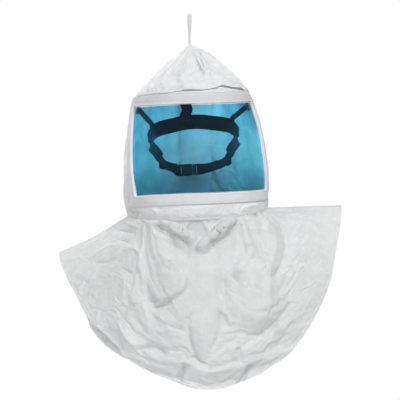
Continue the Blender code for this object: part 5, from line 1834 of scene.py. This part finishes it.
def make_crown_strap():
    angle = CROWN_STRAP_ANGLE
    foot = [ring(angle, -10.0, 1.2), ring(angle, 4.0, 3.9), ring(angle, 14.5, 5.6)]
    path = curve_through([*foot, *CROWN_STRAP_BENDS], 10)
    along = unit(ring(angle + 2) - ring(angle - 2))
    level = np.array([1.0, 0.0, 0.05])
    turned = smooth(linspace(0, 12, len(path)), 1.5, 4.0)[:, None]
    across = unit(along * (1 - turned) + level * turned)
    web = webbing("crown_webbing", path, across, 20.0, 1.15, WEBBING, ribs=7, cells=28)
    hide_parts("crown_strap_lower", "crown_strap_upper")
    out = ring_normal(angle)
    upward = unit(TO_TOP + out * 0.19)
    centre = ring(angle, -2.0, 3.65)
    corners = np.array([centre + along * x + upward * z for x, z in BOX_STITCH])
    tack = stitches("crown_box_stitch", corners, np.tile(out, (len(corners), 1)), GREY_THREAD,
                    1.9, 0.24)
    return web, tack


BUCKLE_AT = ring(BUCKLE_ANGLE, 0, -0.6)
BUCKLE_X = unit(TO_SIDE)
BUCKLE_Y = np.cross(unit(TO_TOP - BUCKLE_X * (TO_TOP @ BUCKLE_X)), BUCKLE_X)


def make_nape_strap(side, start, end, bends, tail):
    """Nape webbing, folded back through the buckle. start and end are angles; bends are x, y
    in the buckle's frame; tail holds angles and distances out of the ellipse."""
    path = [ring(angle, 0.0, out)
            for angle, out in zip(linspace(start, end, 9), linspace(0.2, -2.2, 9))]
    path += [BUCKLE_AT + BUCKLE_X * x + BUCKLE_Y * y for x, y in bends]
    path += [ring(angle, 1.4 * (i + 1), out) for i, (angle, out) in enumerate(tail)]
    path = curve_through(path, 6)
    obj = webbing(f"nape_web_{side}", path, np.tile(TO_TOP, (len(path), 1)), WEB_WIDTH, 1.1,
                  WEBBING, ribs=7)
    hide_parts(f"nape_strap_{side}")
    return obj


RIVET_PROFILE = [(0.0, 1.9), (4.2, 1.9), (4.2, 2.5), (3.9, 3.1), (3.1, 3.55), (1.9, 3.78),
                 (1.6, 3.55), (0.0, 3.5)]
TAB_SIZE = 14.0


def make_rivet(side, angle):
    obj = lathe(f"brow_rivet_head_{side}", RIVET_PROFILE, ring(angle), ring_normal(angle),
                BUCKLE_PLASTIC, 64, closed=False)
    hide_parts(f"brow_rivet_{side}")
    return obj


def make_anchor_tab(side, centre_across, centre_up):
    """A sewn tab that carries the harness, inside a corner of the window."""
    across, up = np.meshgrid(linspace(-0.5, 0.5, 40), linspace(-0.5, 0.5, 40))
    across = centre_across + across * TAB_SIZE / WINDOW_WIDTH
    up = centre_up + up * TAB_SIZE / WINDOW_HEIGHT
    lift = -5.6 + 0.12 * waves(on_window(across, up), 9.0, 6, 77)
    obj = sheet(f"anchor_patch_{side}", on_window(across, up, lift), PATCH, 0.8)
    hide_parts(f"anchor_tab_{side}")
    return obj


def make_roof_patch():
    """The patch under the crown that holds the crown strap's upper end."""
    upward = unit((0.0, -0.5, 0.86))
    axes = (FRONT_AXIS_X, np.cross(upward, FRONT_AXIS_X), upward)
    obj = soft_box("roof_patch", (24, 9, 1.0), (-35.0, 17.0, 603.0), axes, TAPE, wobble=0.06,
                   seed=5)
    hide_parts("crown_anchor_tab")
    return obj


brow_web, brow_threads = make_brow_band()
sweat = make_sweatband()
elastics = [make_side_elastic("left", -1, 80), make_side_elastic("right", 1, 78)]
corner = [*make_corner_strap("left", -57.0, on_window(-0.003, 0.985, -8.5)),
          *make_corner_strap("right", 54.0, on_window(0.985, 0.955, -9.0))]
crown_web, crown_tack = make_crown_strap()
nape_left = make_nape_strap(
    "left", -137.0, -154.0,
    [(-31.0, -6.2), (-26.6, -5.5), (-24.6, -5.2), (-23.6, -4.6), (-23.4, -3.6), (-23.4, 3.6),
     (-23.8, 4.7), (-25.0, 5.3), (-28.6, 5.2), (-32.0, 3.6)],
    [(-150.0, 4.0), (-145.0, 3.0)])
nape_right = make_nape_strap(
    "right", 137.0, 163.0,
    [(20.0, -4.9), (14.0, -4.5), (10.4, -4.6), (9.3, -4.1), (9.0, -3.2), (9.0, 3.2),
     (9.4, 4.2), (10.6, 4.7), (14.0, 4.6), (19.0, 3.8)],
    [(164.0, 3.4), (158.0, 3.2), (150.0, 3.0)])
rivets = [make_rivet("left", -78.0), make_rivet("right", 76.0)]
tabs = [make_anchor_tab("left", 0.01, 0.965), make_anchor_tab("right", 0.985, 0.955)]
roof_patch = make_roof_patch()

# ---------------------------------------------------------------- air inlet and duct
# Turned parts are given by radius and distance behind the inlet's centre.

SPIGOT_PROFILE = [
    (15.5, -10.5), (18.8, -10.5), (18.8, 3.0), (29.0, 3.0), (29.0, 5.6), (27.0, 6.6),
    (21.6, 6.6), (20.4, 9.0), (20.4, 20.0), (18.9, 20.0), (18.9, 23.0), (20.4, 23.0),
    (20.4, 29.0), (19.0, 34.0), (15.5, 34.0),
]
GASKET_PROFILE = [(19.2, 0.7), (28.0, 0.7), (28.0, 2.6), (19.2, 2.6)]
WASHER_PROFILE = [(19.2, -3.6), (30.0, -3.6), (30.0, -2.2), (19.2, -2.2)]
NUT_PROFILE = [(19.2, -9.6), (25.0, -9.6), (26.0, -8.6), (26.0, -4.1), (19.2, -4.1)]
O_RING_PROFILE = [(20.2 + 1.2 * cos(turn), 21.5 + 1.2 * sin(turn))
                  for turn in steps(0, 2 * pi, 20)]
DUCT_HEIGHTS = (296, 327, 358, 376, 400, 435, 475, 515, 545, 566, 584, 598)
DUCT_MOUTH_RADIUS = 19.4


def turned(name, profile, material, **options):
    return lathe(name, profile, (INLET_X, INLET_Y, INLET_Z), (0, 1, 0), material, **options)


def cut_grip(nut):
    """Notches round the lock nut's rim."""
    for vert in nut.data.vertices:
        x, z = vert.co.x * 1000 - INLET_X, vert.co.z * 1000 - INLET_Z
        if hypot(x, z) > 24:
            notch = 1 - 0.035 * max(0.0, cos(atan2(z, x) * 24)) ** 3
            vert.co.x, vert.co.z = (INLET_X + x * notch) / 1000, (INLET_Z + z * notch) / 1000


def duct_line():
    """The duct's middle line, up the inside of the hood's back."""
    line = []
    for z in DUCT_HEIGHTS:
        wall = surface(90.0, float(z))
        out = hood_normal(90.0, float(z))
        out = unit(np.array([0.0, out[1], out[2]]))
        close = 5.0 * np.clip((z - 395.0) / 45.0, 0, 1) * np.clip((560.0 - z) / 45.0, 0, 1)
        gap = 14.0 - close + 9.0 * np.clip((z - 530.0) / 45.0, 0, 1)
        point = np.array([INLET_X, wall[1], z]) - out * gap
        if z <= 358:
            point = np.array([INLET_X, INLET_Y - 20.0, z])
        elif z < 400:
            point[1] -= 4.0
        line.append(point)
    return np.array(line)


def make_duct():
    """Soft flattened sleeve, drawn in where it bends."""
    line = curve_through(duct_line(), 14)
    rings, size = len(line), 96
    depth_axis = np.cross(unit(np.gradient(line, axis=0)), FRONT_AXIS_X)
    turn = linspace(0, 2 * pi, size, endpoint=False)
    cosine, sine = cos(turn)[None], sin(turn)[None]
    along = path_length(line)
    neck_in = 1 - 0.10 * cos(along / 26.0) ** 8
    from_end = minimum(along, along[-1] - along)
    half_width = 31.0 - 0.9 * np.abs(sin(along / 9.0)) * smooth(from_end, 2, 14)
    thin = smooth(line[:, 2], 398.0, 440.0) * (1 - smooth(line[:, 2], 530.0, 566.0))
    depth_power, width_power = (0.62 + 0.5 * thin)[:, None], (0.75 + 0.25 * thin)[:, None]
    half_depth = (8.5 - 4.2 * thin) * neck_in
    depth = half_depth[:, None] * np.abs(sine) ** depth_power * np.sign(sine)
    width = half_width[:, None] * np.abs(cosine) ** width_power * np.sign(cosine)
    points = (line[:, None] + FRONT_AXIS_X * width[..., None]
              + depth_axis[:, None] * depth[..., None])
    normal = unit(FRONT_AXIS_X * cosine[..., None] * 0.3 + depth_axis[:, None] * sine[..., None])
    free = smooth(np.hypot(points[..., 0] - INLET_X, points[..., 2] - INLET_Z), 24.0, 40.0)
    dents = 0.9 * crumple(points, 30.0, 120) + 0.5 * crumple(points, 13.0, 121)
    points = points - normal * (maximum(dents, -0.1) * free)[..., None]
    obj = add_mesh("duct_sleeve", points, grid_faces(rings, size, closed=True), DUCT_FABRIC)
    with edited(obj.data) as bm:
        bm.verts.ensure_lookup_table()
        # the lower end is flattened and closed
        middle = (line[0, 1] + HOOD_Y) / 1000
        for vert in bm.verts[:size]:
            vert.co.y = middle + (vert.co.y - middle) * 0.25
        for i in range(1, size // 2 - 1):
            quad = (i, i + 1, size - 1 - i, size - i)
            bm.faces.new([bm.verts[k] for k in quad])
        bmesh.ops.recalc_face_normals(bm, faces=bm.faces)
        cut_inlet_hole(bm, DUCT_MOUTH_RADIUS, 24)
    solid = obj.modifiers.new("thickness", "SOLIDIFY")
    solid.thickness, solid.offset = 0.0005, -1.0
    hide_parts("air_duct")
    return obj


def make_diffuser():
    line = duct_line()
    way = unit(line[-1] - line[-2])
    axes = (FRONT_AXIS_X, np.cross(way, FRONT_AXIS_X), way)
    obj = soft_box("foam_diffuser", (62.0, 17.0, 14.0), line[-1] + way * 7.6, axes, FOAM,
                   wobble=0.25, seed=9, cells=40, power=9.0)
    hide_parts("duct_diffuser")
    return obj


def make_lens():
    """The clear lens under the film."""
    across, up = np.meshgrid(linspace(-0.045, 1.045, 120), linspace(-0.09, 1.09, 70))
    obj = sheet("clear_lens_sheet", on_window(across, up, -2.8), LENS, 1.0)
    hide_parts("visor_lens")
    return obj


spigot = turned("spigot_turned", SPIGOT_PROFILE, PORT_PLASTIC)
gasket = turned("gasket_turned", GASKET_PROFILE, RUBBER)
washer = turned("washer_turned", WASHER_PROFILE, PORT_PLASTIC)
nut = turned("lock_nut_turned", NUT_PROFILE, PORT_PLASTIC, segments=192)
cut_grip(nut)
o_ring = turned("o_ring_turned", O_RING_PROFILE, RUBBER, round_steps=1)
for piece, node in ((spigot, "inlet_spigot"), (gasket, "inlet_gasket"),
                    (washer, "inlet_washer"), (nut, "inlet_lock_nut"),
                    (o_ring, "inlet_o_ring")):
    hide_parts(node)
duct = make_duct()
diffuser = make_diffuser()
lens = make_lens()

# moulded parts that keep their CAD form
cad_plastic = [NODES[name] for name in ("buckle_plug", "buckle_socket", "triglide_left",
                                        "triglide_right", "crown_triglide")]
for node in cad_plastic:
    for slot in node.material_slots:
        slot.material = BUCKLE_PLASTIC

# ---------------------------------------------------------------- bodies


def ring_in_metres(angle):
    return tuple((ring(angle) + [0, HOOD_Y, 0]) / 1000)


for piece in (cape_front, cape_rear):
    bake(piece)
for piece in (cape_front, hem_front):
    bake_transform(piece)
for piece in (cape_rear, hem_rear):
    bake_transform(piece)
bake(crown_web)
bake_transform(crown_web)
ring_in_metres(145.0)
ring_in_metres(166.0)
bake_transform(nape_right)
# the loop's foot stays in the crown's tip; its modifiers and transform are applied to its mesh
bake(loop)
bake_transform(loop)
for piece in (side_left, side_right, brow, chin, crown, binding, lip, bond, film, lens,
              bib_front, bib_rear, neck_seam, neck_thread, back_seam, back_thread, apex_wrap,
              *shoulder, *binding_threads, *tabs, roof_patch, spigot, gasket, washer, nut,
              o_ring, duct, diffuser):
    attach(piece, "hood")
for piece in (brow_web, sweat, *elastics, *corner, crown_tack, *brow_threads, nape_left,
              *rivets):
    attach(piece, "harness")

# ---------------------------------------------------------------- floor, light and camera
# These are placed in metres.


def floor_material():
    """White, fading out towards the floor's edge."""
    graph = new_graph("studio_floor")
    matt = graph.value("BsdfDiffuse", {"Color": (0.93, 0.93, 0.93, 1.0)})
    radius = graph.value("VectorMath", {0: graph.place()}, "Value", operation="LENGTH")
    gone = graph.ramp(graph.math("DIVIDE", radius, 2.5), (0.25, BLACK), (0.95, WHITE))
    return graph.finish(graph.mix_shader(gone, matt, graph.value("BsdfTransparent")))


def make_floor():
    mesh = bpy.data.meshes.new("studio_floor")
    with edited(mesh) as bm:
        bmesh.ops.create_grid(bm, x_segments=1, y_segments=1, size=2.6)
    floor = add_object("studio_floor", mesh)
    floor.location = (0, 0, -0.42)
    mesh.materials.append(floor_material())


def make_world():
    """White to the camera; for the light, a soft sky that is brighter above."""
    world = bpy.data.worlds.new("studio")
    bpy.context.scene.world = world
    graph = Graph(world, "OutputWorld")
    to_camera = graph.value("LightPath", output="Is Camera Ray")
    seen = graph.value("Background", {"Color": (1, 1, 1, 1), "Strength": 1.0})
    direction = graph.value("TexCoord", output="Generated")
    height = graph.value("SeparateXYZ", {"Vector": direction}, 2)
    strength = graph.value("MapRange", {"Value": height, "From Min": -1.0, "From Max": 1.0,
                                        "To Min": 0.20, "To Max": 0.56})
    sky = graph.value("Background", {"Color": (0.97, 0.985, 1.0, 1), "Strength": strength})
    graph.finish(graph.mix_shader(to_camera, sky, seen))


def area_light(name, place, target, size, power, colour=(1, 1, 1)):
    data = bpy.data.lights.new(name, "AREA")
    data.shape, data.size, data.energy, data.color = "SQUARE", size, power, colour
    light = add_object(name, data)
    light.location = place
    aim = Vector(target) - Vector(place)
    light.rotation_euler = aim.to_track_quat("-Z", "Y").to_euler()
    return light


# place, target, size and power of the lights inside the hood
INNER_LIGHTS = (
    ((-0.01, -0.02, 0.585), (-0.01, 0.14, 0.44), 0.066, 0.085),
    ((0.055, 0.035, 0.535), (-0.06, 0.14, 0.44), 0.03, 0.065),
    ((-0.085, -0.03, 0.455), (-0.16, 0.05, 0.47), 0.06, 0.10),
    ((0.065, -0.03, 0.455), (0.12, 0.05, 0.47), 0.06, 0.10),
)


def make_lights():
    key = area_light("key_light", place=(0.75, -2.05, 2.15), target=(0, 0, 0.36), size=0.9,
                     power=53.0, colour=(1.0, 0.997, 0.99))
    fill = area_light("fill_light", place=(-2.0, -2.2, 0.9), target=(0, 0, 0.33), size=1.8,
                      power=13.0)
    back = area_light("back_light", place=(-1.9, 1.9, 1.5), target=(0, 0, 0.40), size=0.9,
                      power=55.0)
    key.visible_glossy = fill.visible_glossy = back.visible_glossy = False
    for light in INNER_LIGHTS:
        area_light("inner_light", *light).visible_camera = False


def make_camera():
    lens_data = bpy.data.cameras.new("camera")
    lens_data.lens = 142.1
    lens_data.sensor_width = 36.0
    lens_data.clip_end = 50.0
    camera = add_object("camera", lens_data)
    camera.location = (-0.00095, -EYE_DISTANCE / 1000, EYE_HEIGHT / 1000)
    camera.rotation_euler = (radians(90), 0, 0)
    scene = bpy.context.scene
    scene.camera = camera
    scene.view_settings.view_transform = "Standard"
    scene.view_settings.look = "None"


make_floor()
make_world()
make_lights()
make_camera()
